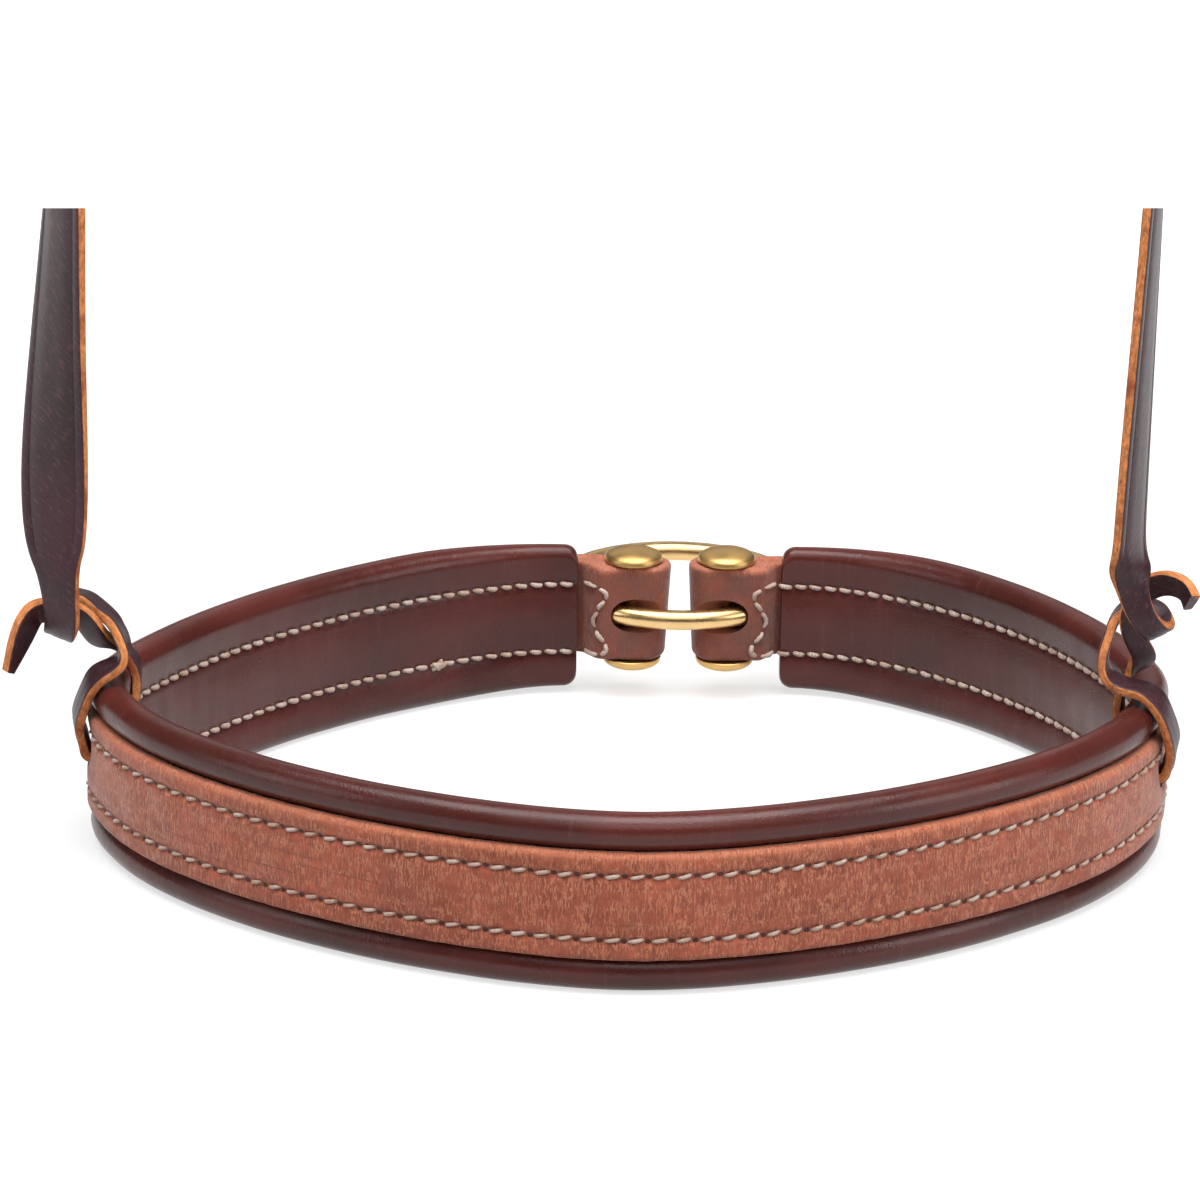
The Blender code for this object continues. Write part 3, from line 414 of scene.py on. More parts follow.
class Fit:
    """The settings that most pieces share, with what follows from them."""

    def __init__(self):
        scene = bpy.context.scene
        band, hanger, brass = scene.noseband_band, scene.noseband_hanger, scene.noseband_brass
        self.loop, self.thread = Loop(scene.noseband_plan), scene.noseband_thread
        self.band, self.hanger, self.brass = band, hanger, brass
        self.lining = band.roll_radius - ROLL_PROUD
        self.flap = 2 * band.cover + GAP - self.lining
        self.strip_face = self.flap + GAP + band.strip_thickness
        self.fold_radius = (TAB_CHANNEL + band.tab_thickness) / 2
        self.outer_layer = self.strip_face - band.tab_thickness / 2
        self.post_line = self.outer_layer - self.fold_radius
        self.inner_layer = self.post_line - self.fold_radius
        self.fold_centre = TAB_END + self.fold_radius + band.tab_thickness / 2
        self.ring_radius = (brass.ring_inner + brass.ring_wire) / 2
        self.ring_line = self.inner_layer - band.tab_thickness / 2 - RING_STAND_OFF + self.ring_radius
        self.knot_unit = max(hanger.thickness / (DRAWN_THICKNESS * MM), hanger.thong / (DRAWN_THONG * MM))
        self.wrap_top = band.height / 2 + WRAP_CLEARANCE * MM + hanger.thickness / 2
        self.hanger_at = {"left": self.loop.front + hanger.left_at,
                          "right": self.loop.front - hanger.right_at}
        self.slot_at = {side: self.hanger_at[side] + HANGERS[side].along * HANGERS[side].slot * MM
                        for side in SIDES}


# Making meshes
def kept(shape, name):
    """A bmesh turned into a mesh."""
    mesh = bpy.data.meshes.new(name)
    shape.to_mesh(mesh)
    shape.free()
    return mesh


def linked(name, data):
    """A new object in the scene."""
    item = bpy.data.objects.new(name, data)
    bpy.context.scene.collection.objects.link(item)
    return item


def close_ends(shape):
    """Fills a shape's open rims and turns all its faces outwards."""
    rims = [edge for edge in shape.edges if edge.is_boundary]
    bmesh.ops.holes_fill(shape, edges=rims, sides=0)
    bmesh.ops.recalc_face_normals(shape, faces=shape.faces)


def skin(name, rings, reach=None, marks=None, zero_at=None):
    """A grid laid over rings of points, welded along its seam and closed at its ends.

    The UV map holds the distance along and the distance round, in metres.
    """
    rows, sides = len(rings) - 1, len(rings[0])
    shape = bmesh.new()
    bmesh.ops.create_grid(shape, x_segments=rows, y_segments=sides, size=0.5)
    layer = shape.loops.layers.uv.new("UVMap")
    mark = shape.verts.layers.float.new("raw_edge") if marks else None
    if reach is None:
        reach = [0.0]
        for near, far in zip(rings, rings[1:]):
            reach.append(reach[-1] + (sum(far, Vector()) - sum(near, Vector())).length / len(near))
    middle = max(rings, key=lambda ring: sum((b - a).length for a, b in zip(ring, ring[1:])))
    around = [0.0]
    for near, far in zip(middle, middle[1:] + middle[:1]):
        around.append(around[-1] + (far - near).length)
    zero = around[len(middle) // 2 if zero_at is None else zero_at]
    cells = {}
    shape.verts.index_update()
    for vert in shape.verts:
        row = round((vert.co.x + 0.5) * rows)
        side = round((vert.co.y + 0.5) * sides)
        cells[vert.index] = (reach[row], around[side] - zero)
        vert.co = rings[row][side % sides]
        if marks:
            vert[mark] = marks[side % sides]
    for face in shape.faces:
        for corner in face.loops:
            corner[layer].uv = cells[corner.vert.index]
    bmesh.ops.remove_doubles(shape, verts=shape.verts, dist=WELD)
    close_ends(shape)
    return kept(shape, name)


def row_offset(section, zero_at, height):
    """Length round a section from its zero up to a row on the same face."""
    travelled = 0.0
    for index in range(zero_at, 0, -1):
        near, far = Vector(section[index]), Vector(section[index - 1])
        if far.y >= height:
            return travelled + (far - near).length * (height - near.y) / (far.y - near.y)
        travelled += (far - near).length
    raise ValueError("the row lies off the face")


def placed(name, mesh, body, material, nodes, sharp=40):
    """Puts a finished mesh into the scene in place of CAD nodes, to ride on a body if one is given."""
    mesh.materials.clear()
    mesh.materials.append(material)
    mesh.shade_smooth()
    mesh.set_sharp_from_angle(angle=radians(sharp))
    piece = linked(name, mesh)
    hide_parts(*nodes)
    if body:
        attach(piece, body)
    return piece


def carved(mesh, cutters):
    """The mesh with each cutter's shape taken out of it."""
    piece = linked("carving", mesh)
    blocks = []
    for index, cutter in enumerate(cutters):
        block = linked("cutter_%d" % index, cutter)
        boolean = piece.modifiers.new("cut_%d" % index, "BOOLEAN")
        boolean.operation = "DIFFERENCE"
        boolean.solver = "EXACT"
        boolean.object = block
        blocks.append(block)
    bpy.context.view_layer.update()
    result = bpy.data.meshes.new_from_object(piece.evaluated_get(bpy.context.evaluated_depsgraph_get()))
    result.name = mesh.name
    for thing in [piece] + blocks:
        data = thing.data
        bpy.data.objects.remove(thing)
        bpy.data.meshes.remove(data)
    return result


def turned(profile, segments, centre, closed=False):
    """A profile of (radius, height) points spun round an upright axis."""
    shape = bmesh.new()
    verts = [shape.verts.new((radius, 0, height)) for radius, height in profile]
    edges = [shape.edges.new(pair) for pair in zip(verts, verts[1:])]
    if closed:
        edges.append(shape.edges.new((verts[-1], verts[0])))
    bmesh.ops.spin(shape, geom=verts + edges, cent=(0, 0, 0), axis=(0, 0, 1), angle=2 * pi,
                   steps=segments, use_merge=True)
    bmesh.ops.remove_doubles(shape, verts=shape.verts, dist=WELD)
    bmesh.ops.recalc_face_normals(shape, faces=shape.faces)
    bmesh.ops.translate(shape, verts=shape.verts, vec=centre)
    return kept(shape, "turned")


# Padded backing
def press(fit, distance, height):
    """How far the band is drawn in by the hangers' thongs, just above their slots."""
    drawn = 0.0
    for at in fit.slot_at.values():
        across = (distance - at) / PRESS_HALF_LENGTH
        up = (height - PRESS_RISE) / PRESS_HALF_HEIGHT
        drawn += PRESS_DEPTH * exp(-across * across) * exp(-up * up)
    return drawn


def press_inside(fit, distance, outward, height):
    """The same for a point inside the backing, fading away towards the lining."""
    return press(fit, distance, height) * eased((outward + PRESS_FADE) / PRESS_FADE)


def arc(centre, radius, start, end, steps):
    """Points on an arc, with angles from outwards."""
    return [(centre[0] + radius * cos(start + (end - start) * k / steps),
             centre[1] + radius * sin(start + (end - start) * k / steps)) for k in range(steps + 1)]


def straight(first, last, steps):
    """Points between two points, without the points themselves."""
    return [(mixed(first[0], last[0], k / steps), mixed(first[1], last[1], k / steps))
            for k in range(1, steps)]


def puffed(low, high, face, height, steps):
    """Points up a padded face that swells between two rows."""
    return [(face + height * sin(pi * k / steps) ** 1.2, mixed(low, high, k / steps))
            for k in range(1, steps)]


def groove(face, height, depth, side):
    """A soft stitching groove, from its lower to its upper edge."""
    return [(face - side * depth * share, height + GROOVE_HALF * across)
            for across, share in ((-1.5, 0), (-0.85, 0.55), (-0.4, 1), (0.4, 1), (0.85, 0.55), (1.5, 0))]


def end_share(fit, distance):
    """0 over most of the band, rising to 1 at the backing's ends."""
    return eased(1 - (fit.loop.to_end(distance) - fit.band.setback) / END_TAPER)


def tab_rise(fit, distance):
    """How far the strip has risen towards its nearer tab, which stands a little high."""
    return TAB_RISE * end_share(fit, distance) ** 2


def end_round(fit, distance):
    """How much lower the backing's corners lie close to its ends."""
    edge = fit.loop.to_end(distance) - fit.band.setback
    if edge >= END_CORNER:
        return 0.0
    return END_CORNER - sqrt(max(END_CORNER * END_CORNER - (END_CORNER - edge) ** 2, 0))


def cover_section(fit, distance):
    """The cover's closed outline: both rolls, the lining with its rows, and the two flaps."""
    band, thread = fit.band, fit.thread
    share = end_share(fit, distance)
    roll = mixed(band.roll_radius, END_ROLL_RADIUS, share)
    height = mixed(band.height, END_HEIGHT, share) / 2 - end_round(fit, distance)
    closing = 1 - eased((fit.loop.to_end(distance) - band.setback) / END_CLOSING)
    inset = END_ROLL_DRAW * (roll - band.roll_radius)
    centre = (inset, height - roll)
    hollow = max((roll - band.cover) * (1 - closing), LEAST_HOLLOW)
    flap, lining = fit.flap, -fit.lining
    flap_back, lining_back = flap - band.cover, lining + band.cover
    flap_edge = thread.outer_row - FLAP_MARGIN
    outer_arc = arc(centre, roll, asin((flap - inset) / roll) - pi / 2, pi + ROLL_LEAVES, 26)
    low = min(max((flap_back - inset) / hollow, -0.9), 0.9)
    high = min(max((lining_back - inset) / hollow, -0.9), 0.9)
    inner_arc = arc(centre, hollow, asin(low) - pi / 2, 1.5 * pi + asin(high), 10)
    row = groove(lining, thread.inner_row, LINING_GROOVE, -1)[::-1]
    outer = [(flap, flap_edge)] + straight((flap, flap_edge), outer_arc[0], 4) + outer_arc
    outer += [(x - LINING_DIP * sin(pi * (k + 1) / 4), z) for k, (x, z)
              in enumerate(straight(outer_arc[-1], row[0], 4))]
    outer += row
    middle = puffed(row[-1][1], -row[-1][1], lining, -LINING_PUFF, 12)
    mirrored = [(x, -z) for x, z in outer[::-1]]
    inner = [(flap_back, flap_edge)] + straight((flap_back, flap_edge), inner_arc[0], 3) + inner_arc
    back = straight(inner_arc[-1], (inner_arc[-1][0], -inner_arc[-1][1]), 5)
    outline = outer + middle + mirrored + [(x, -z) for x, z in inner]
    outline += [(x, -z) for x, z in back] + inner[::-1]
    return outline


def stations(fit, start, end):
    """Evenly spaced distances along the band, closer together near its ends."""
    near = [start + step * MM for step in END_STATIONS]
    far = [end - step * MM for step in END_STATIONS[::-1]]
    count = round((end - start - 2 * END_STATIONS[-1] * MM) / fit.band.station)
    return near + [mixed(near[-1], far[0], k / count) for k in range(1, count)] + far


def wavy(wave, distance, height):
    """A smooth rise and fall that wanders over the band, as deep and as close as the wave says."""
    depth, scale, seed = wave
    return depth * noise.noise(Vector((distance * scale, height * scale, seed)))


def build_cover(fit):
    """The wrapped leather, waved and drawn in, with its section at every station."""
    loop, band = fit.loop, fit.band
    rings = []
    reach = stations(fit, band.setback, loop.length - band.setback)
    for distance in reach:
        spots = []
        for outward, height in cover_section(fit, distance):
            wave = wavy(COVER_WAVE, distance, height)
            if outward < LINING_WAVE_FROM:
                wave += wavy(LINING_WAVE, distance, height * 0.2)
            drawn = press_inside(fit, distance, outward, height)
            spots.append((outward + wave - drawn, height))
        rings.append(loop.ring(distance, spots))
    return skin("backing_cover_skin", rings, reach, zero_at=COVER_ZERO)


def filler(fit, name, count, section):
    """A filler along the full part of the band, with the outline that section gives at a distance."""
    start = fit.band.setback + END_TAPER + FILLER_INSET
    rings = []
    for k in range(count + 1):
        distance = mixed(start, fit.loop.length - start, k / count)
        rings.append(fit.loop.ring(distance, section(distance)))
    return skin(name, rings)


def build_cord(fit, side):
    """A laid cord of three strands inside a rolled edge."""
    radius = fit.band.roll_radius - fit.band.cover - CORD_SLACK
    centre = side * (fit.band.height / 2 - fit.band.roll_radius)

    def section(distance):
        spots = []
        for step in range(CORD_SIDES):
            turn = 2 * pi * step / CORD_SIDES
            lay = radius * (0.93 + 0.07 * cos(3 * (turn - distance * CORD_LAY)))
            spots.append((lay * cos(turn), centre + lay * sin(turn)))
        return spots

    return filler(fit, "roll_cord", 300, section)


def build_felt(fit):
    """The flat filler between the two flaps, drawn in where the hangers pass through."""
    half = fit.thread.outer_row - FLAP_MARGIN - GAP
    front, back = fit.flap, fit.flap - fit.band.cover
    outline = ([(front, mixed(-half, half, k / 6)) for k in range(7)]
               + [(back, mixed(half, -half, k / 6)) for k in range(7)])

    def section(distance):
        return [(x - press_inside(fit, distance, x, z), z) for x, z in outline]

    return filler(fit, "felt_filler", 400, section)


def slot_block(fit, side):
    """A round-ended block that cuts a hanger's slot through the band."""
    distance = fit.slot_at[side]
    heading = fit.loop.place(distance)[1]
    size = Vector((fit.hanger.thong + THONG_SLOT_SPARE, THONG_SLOT_DEPTH,
                   fit.hanger.thickness + THONG_SLOT_ROOM))
    shape = bmesh.new()
    bmesh.ops.create_cube(shape, size=1)
    bmesh.ops.scale(shape, verts=shape.verts, vec=size)
    ends = [edge for edge in shape.edges if abs(edge.verts[0].co.y - edge.verts[1].co.y) > 0.5 * size.y]
    bmesh.ops.bevel(shape, geom=ends, offset=0.45 * size.z, segments=5, profile=0.5, affect="EDGES",
                    material=-1)
    bmesh.ops.rotate(shape, verts=shape.verts, cent=(0, 0, 0),
                     matrix=Matrix.Rotation(atan2(heading.y, heading.x), 3, "Z"))
    bmesh.ops.translate(shape, verts=shape.verts, vec=fit.loop.at(distance, THONG_SLOT_MIDDLE, 0))
    return kept(shape, "slot_block")


def slot_blocks(fit):
    """A block for each hanger's slot."""
    return [slot_block(fit, side) for side in SIDES]


# Outer strip and its tabs
def strip_track(fit):
    """The strip's middle line: distance from the gap, offset outwards and thickness.

    Each fold is solid between its post and its tip, where the real one has a leather plug.
    """
    band = fit.band
    tab, full = band.tab_thickness, band.strip_thickness
    tip = band.setback - TIP_CLEARANCE
    straight_at = tip - TAB_TAPER
    plug_face = fit.outer_layer - tab / 2 - TIP_LAP
    tip_line = plug_face - TAB_TIP_THICKNESS / 2
    middle = fit.strip_face - full / 2
    track = []
    for k in range(TAB_STEPS * 2 + 1):
        if k < TAB_STEPS:
            distance, share = mixed(tip, straight_at, k / TAB_STEPS), eased(k / TAB_STEPS)
        else:
            distance, share = mixed(straight_at, fit.fold_centre, k / TAB_STEPS - 1), 1
        inside = mixed(tip_line - TAB_TIP_THICKNESS / 2, fit.inner_layer - tab / 2, share)
        filled = eased((distance - PLUG_FROM) / PLUG_RAMP)
        outside = mixed(fit.inner_layer + tab / 2, plug_face, filled)
        track.append((distance, (inside + outside) / 2, outside - inside))
    for k in range(1, FOLD_STEPS + 1):
        angle = pi * k / FOLD_STEPS
        track.append((fit.fold_centre - fit.fold_radius * sin(angle),
                      fit.post_line - fit.fold_radius * cos(angle), tab))
    outer_end = band.setback - GAP
    for k in range(1, TAB_STEPS + 1):
        track.append((mixed(fit.fold_centre, outer_end, k / TAB_STEPS), fit.outer_layer, tab))
    for k in range(1, 7):
        share = eased(k / 6)
        track.append((mixed(outer_end, band.setback + TAB_BLEND, k / 6),
                      mixed(fit.outer_layer, middle, share), mixed(tab, full, share)))
    return track, middle


def strip_section(fit, thickness, depth=GROOVE_DEPTH):
    """The strip's outline from the middle of its back, up round the top edge and down the face."""
    band, thread = fit.band, fit.thread
    scale = min(thickness / band.strip_thickness, 1)
    half, top = thickness / 2, band.strip_height / 2
    back, front = STRIP_BACK_ROUND * scale, STRIP_FRONT_ROUND * scale
    row = thread.outer_row
    upper = [(-half, 0)] + straight((-half, 0), (-half, top - back), 5)
    upper += arc((back - half, top - back), back, pi, pi / 2, 7)
    upper += arc((half - front, top - front), front, pi / 2, 0, 7)
    stitch = groove(half, row, depth, 1)[::-1]
    upper += straight((half, top - front), stitch[0], 4) + stitch
    upper += [(half + STRIP_CROWN * sin(pi * k / 20) * (depth / GROOVE_DEPTH), stitch[-1][1] * (1 - k / 10))
              for k in range(1, 10)]
    return upper + [(half + STRIP_CROWN * depth / GROOVE_DEPTH, 0)] + [(x, -z) for x, z in upper[:0:-1]]


def build_strip(fit):
    """The strip from one folded end to the other, with its low corners rounded at the tabs."""
    loop, band = fit.loop, fit.band
    track, middle = strip_track(fit)
    reach, folded = track[-1][0], 2 * TAB_STEPS
    count = round((loop.length - 2 * reach) / band.station)
    line = list(track)
    line += [(mixed(reach, loop.length - reach, k / count), middle, band.strip_thickness)
             for k in range(1, count)]
    line += [(loop.length - distance, outward, thick) for distance, outward, thick in track[::-1]]
    points = [loop.at(distance, outward, 0) for distance, outward, thick in line]
    rings, along = [], [0.0]
    for index, (distance, outward, thick) in enumerate(line):
        heading = loop.place(distance)[1]
        travel = Vector((-heading.x, -heading.y, 0))
        if folded < index < len(line) - 1 - folded:
            travel = (points[index + 1] - points[index - 1]).normalized()
        normal = Vector((-travel.y, travel.x, 0))
        from_gap = loop.to_end(distance)
        depth = GROOVE_DEPTH * eased((from_gap - reach + GROOVE_FADE / 2) / GROOVE_FADE)
        in_tab = 1 - eased((from_gap - band.setback + TAB_FADE / 2) / TAB_FADE)
        fold = 1 - eased((from_gap - TAB_END) / LEAN_FADE)
        away = Vector((heading * (1 if distance < loop.front else -1)).to_3d())
        into_corner = max(STRIP_CORNER - (from_gap - TAB_END + CORNER_START), 0)
        trim = STRIP_CORNER - sqrt(max(STRIP_CORNER ** 2 - into_corner ** 2, 0))
        ring = []
        for x, z in strip_section(fit, thick, max(depth, 0.01 * MM)):
            drawn = press(fit, distance, z) if in_tab < 0.01 else 0
            if z < 0:
                z += trim * in_tab * eased(-z / (band.strip_height / 2) * 1.6 - 0.4)
            rough = wavy(STRIP_ROUGH, distance + outward, z)
            wave = wavy(STRIP_WAVE, distance, z * 0.4)
            height = z + (wavy(STRIP_EDGE_WAVE, distance, x) + rough) * abs(z) / band.strip_height * 2
            leaning = away * (TAB_LEAN * fold * (band.strip_height * 0.35 - z))
            height += tab_rise(fit, distance)
            ring.append(points[index] + normal * (x + wave - drawn + 0.4 * rough) + leaning
                        + Vector((0, 0, height)))
        rings.append(ring)
        if index:
            along.append(along[-1] + (points[index] - points[index - 1]).length)
    last = len(line) - len(track)
    near, far = reach - along[len(track) - 1], loop.length - reach - along[last]
    travelled = [along[k] + near if k < len(track) else along[k] + far if k > last else line[k][0]
                 for k in range(len(line))]
    return skin("nose_strip_skin", rings, travelled)


def ring_centre(fit, lift=0.0):
    """The ring's middle, where it sags to the bottom of its slots, or higher by a lift."""
    return fit.loop.at(0, fit.ring_line, TAB_RISE - RING_SAG + lift)


def ring_shape(fit, across, up, sides, segments, lift=0.0):
    """A ring on the brass ring's circle, of an oval section."""
    profile = [(fit.ring_radius + across * cos(2 * pi * k / sides), up * sin(2 * pi * k / sides))
               for k in range(sides)]
    return turned(profile, segments, ring_centre(fit, lift), True)


def ring_slot_block(fit):
    """A hoop round the ring's wire that cuts the tabs' slots."""
    wire = fit.brass.ring_wire / 2
    return ring_shape(fit, wire + SLOT_SIDE, wire + SLOT_OVER, 28, 180, SLOT_RISE)


# Stitching
def stitch_tube(shape, path, normals, radius, taper=0.3, sides=8):
    """A two-ply stitch laid along a short path, pinched where it dives into its needle holes."""
    rows = len(path) - 1
    made = bmesh.ops.create_grid(shape, x_segments=rows, y_segments=sides, size=0.5)["verts"]
    travelled = [0.0]
    for near, far in zip(path, path[1:]):
        travelled.append(travelled[-1] + (far - near).length)
    frames = []
    for k, point in enumerate(path):
        along = (path[min(k + 1, rows)] - path[max(k - 1, 0)]).normalized()
        side = along.cross(normals[k]).normalized()
        up = side.cross(along)
        share = travelled[k] / travelled[-1]
        slim = min(1, taper + (1 - taper) * (sin(pi * min(max(share, 0), 1)) ** 0.5))
        if k in (0, rows):
            slim = 0
        frames.append((point, side, up, radius * slim, travelled[k]))
    for vert in made:
        row = round((vert.co.x + 0.5) * rows)
        turn = 2 * pi * (round((vert.co.y + 0.5) * sides) % sides) / sides
        point, side, up, size, reach = frames[row]
        ply = size * (PLY_WAIST + PLY_BULGE * abs(cos(turn - THREAD_TWIST * reach)))
        vert.co = point + (side * cos(turn) + up * sin(turn)) * ply


def finished_stitches(shape, name):
    """The mesh of all a row's stitches, each one closed."""
    bmesh.ops.remove_doubles(shape, verts=shape.verts, dist=THREAD_WELD)
    bmesh.ops.recalc_face_normals(shape, faces=shape.faces)
    return kept(shape, name)


class Row(NamedTuple):
    """How one row lies: its face, which way that looks, each stitch's form, and where it's tied."""
    face: float
    facing: int
    height: float
    pitch: float
    length: float
    radius: float
    slant: float
    start: float
    tie: float = 0.0


def tie_off(fit, shape, row, chance):
    """A tangle of short turns of thread where the row was tied off."""
    for turn in range(TIE_TURNS):
        lean = pi * turn / TIE_TURNS + TIE_LEAN
        middle = row.tie + chance.uniform(-0.9, 0.9) * MM
        rise = row.height + chance.uniform(-0.5, 0.3) * MM
        path = []
        for step in range(STITCH_STEPS + 1):
            share = step / STITCH_STEPS - 0.5
            lift = (0.9 - 2.6 * share * share) * MM
            path.append(fit.loop.at(middle + TIE_LENGTH * share * cos(lean), row.face + row.facing * lift,
                                    rise + TIE_HEIGHT * share * sin(lean)))
        normals = [fit.loop.outwards(middle) * row.facing] * len(path)
        stitch_tube(shape, path, normals, row.radius * 0.95, 0.6)


def row_stitches(fit, name, row, chance):
    """One row of stitches along the band, each lying in the groove between two needle holes."""
    loop, shape = fit.loop, bmesh.new()
    outside = row.facing > 0
    first = ceil(row.start / row.pitch - 0.5)
    last = int((loop.length - row.start) / row.pitch - 0.5)
    for index in range(first, last + 1):
        middle = (index + 0.5) * row.pitch + chance.uniform(-0.12, 0.12) * MM
        lean = row.slant + chance.uniform(-0.06, 0.06)
        size = row.length * chance.uniform(0.93, 1.06)
        bulge = chance.uniform(0.9, 1.12)
        path, normals = [], []
        for k in range(STITCH_STEPS + 1):
            share = k / STITCH_STEPS - 0.5
            distance = middle + size * share * cos(lean)
            rise = row.height + size * share * sin(lean)
            lift = bulge * (STITCH_LIFT - STITCH_DIVE * abs(2 * share) ** 3.2)
            drawn = press(fit, distance, rise) if outside else 0
            risen = tab_rise(fit, distance) if outside else 0
            path.append(loop.at(distance, row.face + row.facing * lift - drawn, rise + risen))
            normals.append(loop.outwards(distance) * row.facing)
        stitch_tube(shape, path, normals, row.radius * chance.uniform(0.94, 1.06))
    if row.tie:
        tie_off(fit, shape, row, chance)
    return finished_stitches(shape, name)


def strip_row(fit):
    """Length round the strip's outline from the middle of its face to a stitched row."""
    section = strip_section(fit, fit.band.strip_thickness)
    return row_offset(section, len(section) // 2, fit.thread.outer_row)


def build_rows(fit, chance):
    """The two rows that hold the strip on the band, and then the two on the lining."""
    thread, setback = fit.thread, fit.band.setback
    outer = Row(fit.strip_face - GROOVE_DEPTH, 1, thread.outer_row, thread.pitch, OUTER_STITCH,
                thread.radius, -thread.slant, setback + TAB_BLEND + 1 * MM)
    inner = Row(LINING_GROOVE - fit.lining, -1, thread.inner_row, thread.inner_pitch, INNER_STITCH,
                thread.radius * INNER_PLUMP, -thread.slant / 2, setback + 0.5 * MM)
    rows = []
    for where, upper, tie in (("outer", outer, 0.0), ("inner", inner, fit.loop.length - TIE_FROM)):
        lower = upper._replace(height=-upper.height, tie=tie)
        for level, row in (("upper_", upper), ("lower_", lower)):
            rows.append((level + where, row_stitches(fit, level + where, row, chance)))
    return rows


# Three spots on each closing stitch, in millimetres: from the backing's end towards the gap, and up
CLOSING_STITCHES = (
    ((1.7, 8.3), (3.2, 8.6), (4.7, 8.3)),
    ((5.3, 8.2), (6.9, 7.4), (6.9, 5.7)),
    ((6.5, 5.1), (5.7, 4.2), (5.2, 3.0)),
    ((4.8, 2.5), (4.0, 0.4), (4.3, -1.7)),
    ((4.6, -2.4), (5.4, -3.6), (6.3, -4.8)),
    ((6.7, -5.4), (7.1, -7.2), (5.7, -8.2)),
    ((4.9, -8.4), (3.3, -8.6), (1.8, -8.3)),
)


def tab_face(fit, distance, lift):
    """A point over the nose side of a tab, at a distance from the gap and a lift off its face."""
    inside = [Vector((reach, outward - thick / 2)) for reach, outward, thick in strip_track(fit)[0]]
    for near, far in zip(inside, inside[1:]):
        if far.x <= distance <= near.x:
            along = (far - near).normalized()
            face = near.lerp(far, (near.x - distance) / (near.x - far.x))
            return face + Vector((-along.y, along.x)) * lift
    raise ValueError("a closing stitch lies off its tab")


def build_closing(fit, side, chance):
    """The thread that closes a fold, bulging away from the ring's slot at mid height."""
    loop, thread = fit.loop, fit.thread
    shape = bmesh.new()
    for spots in CLOSING_STITCHES:
        line = smooth_line([Vector(spot) * MM for spot in spots], 6)
        wander = Vector((chance.uniform(-0.2, 0.2), chance.uniform(-0.2, 0.2))) * MM
        path, normals = [], []
        for k, spot in enumerate(line):
            share = abs(2 * k / (len(line) - 1) - 1)
            lift = thread.radius * 1.1 - 0.9 * MM * share ** 4
            place = tab_face(fit, fit.band.setback - spot.x - wander.x, lift)
            distance = place.x if side == "right" else loop.length - place.x
            path.append(loop.at(distance, place.y, spot.y + wander.y + CLOSING_RISE))
            normals.append(-loop.outwards(distance))
        stitch_tube(shape, path, normals, thread.radius * chance.uniform(1.15, 1.5))
    return finished_stitches(shape, side + "_closing")


# Rear hardware
def dome(fit, seat, side, steps=14):
    """Profile of a low domed head, from the rim at its seat to its crown on the axis."""
    radius = fit.brass.head_radius
    points = [(radius - HEAD_BEVEL, seat), (radius, seat + side * HEAD_BEVEL),
              (radius, seat + side * (HEAD_RIM - HEAD_BEVEL))]
    for k in range(steps + 1):
        angle = pi / 2 * k / steps
        rise = HEAD_RIM + HEAD_DOME * sin(angle)
        points.append((max(radius * cos(angle) - 0.05 * MM, 0), seat + side * rise))
    points[-1] = (0, points[-1][1])
    return points


def post_centre(fit, side):
    """The middle of a post, in the middle of its fold."""
    offset = fit.fold_centre + TAB_CHANNEL / 2
    distance = offset if side == "right" else fit.loop.length - offset
    return fit.loop.at(distance, fit.post_line, TAB_RISE)


def build_barrel(fit, side):
    """A post's barrel, with its head below and its bore open above."""
    seat = fit.band.strip_height / 2 + GAP
    mouth = seat - 2 * GAP
    depth = fit.band.strip_height - SHANK_STOP + BORE_SPARE
    profile = [(0, mouth - depth), (BORE_RADIUS, mouth - depth), (BORE_RADIUS, mouth),
               (POST_RADIUS, mouth), (POST_RADIUS, -seat)] + dome(fit, -seat, -1)
    return turned(profile, fit.brass.segments, post_centre(fit, side))


def build_screw(fit, side):
    """A post's screw, with its head above."""
    seat = fit.band.strip_height / 2 + GAP
    foot = seat - (fit.band.strip_height - SHANK_STOP)
    profile = dome(fit, seat, 1)[::-1] + [(SHANK_RADIUS, seat), (SHANK_RADIUS, foot), (0, foot)]
    return turned(profile, fit.brass.segments, post_centre(fit, side))


def build_ring(fit):
    """The brass ring."""
    wire = fit.brass.ring_wire / 2
    return ring_shape(fit, wire, wire, 36, 144)


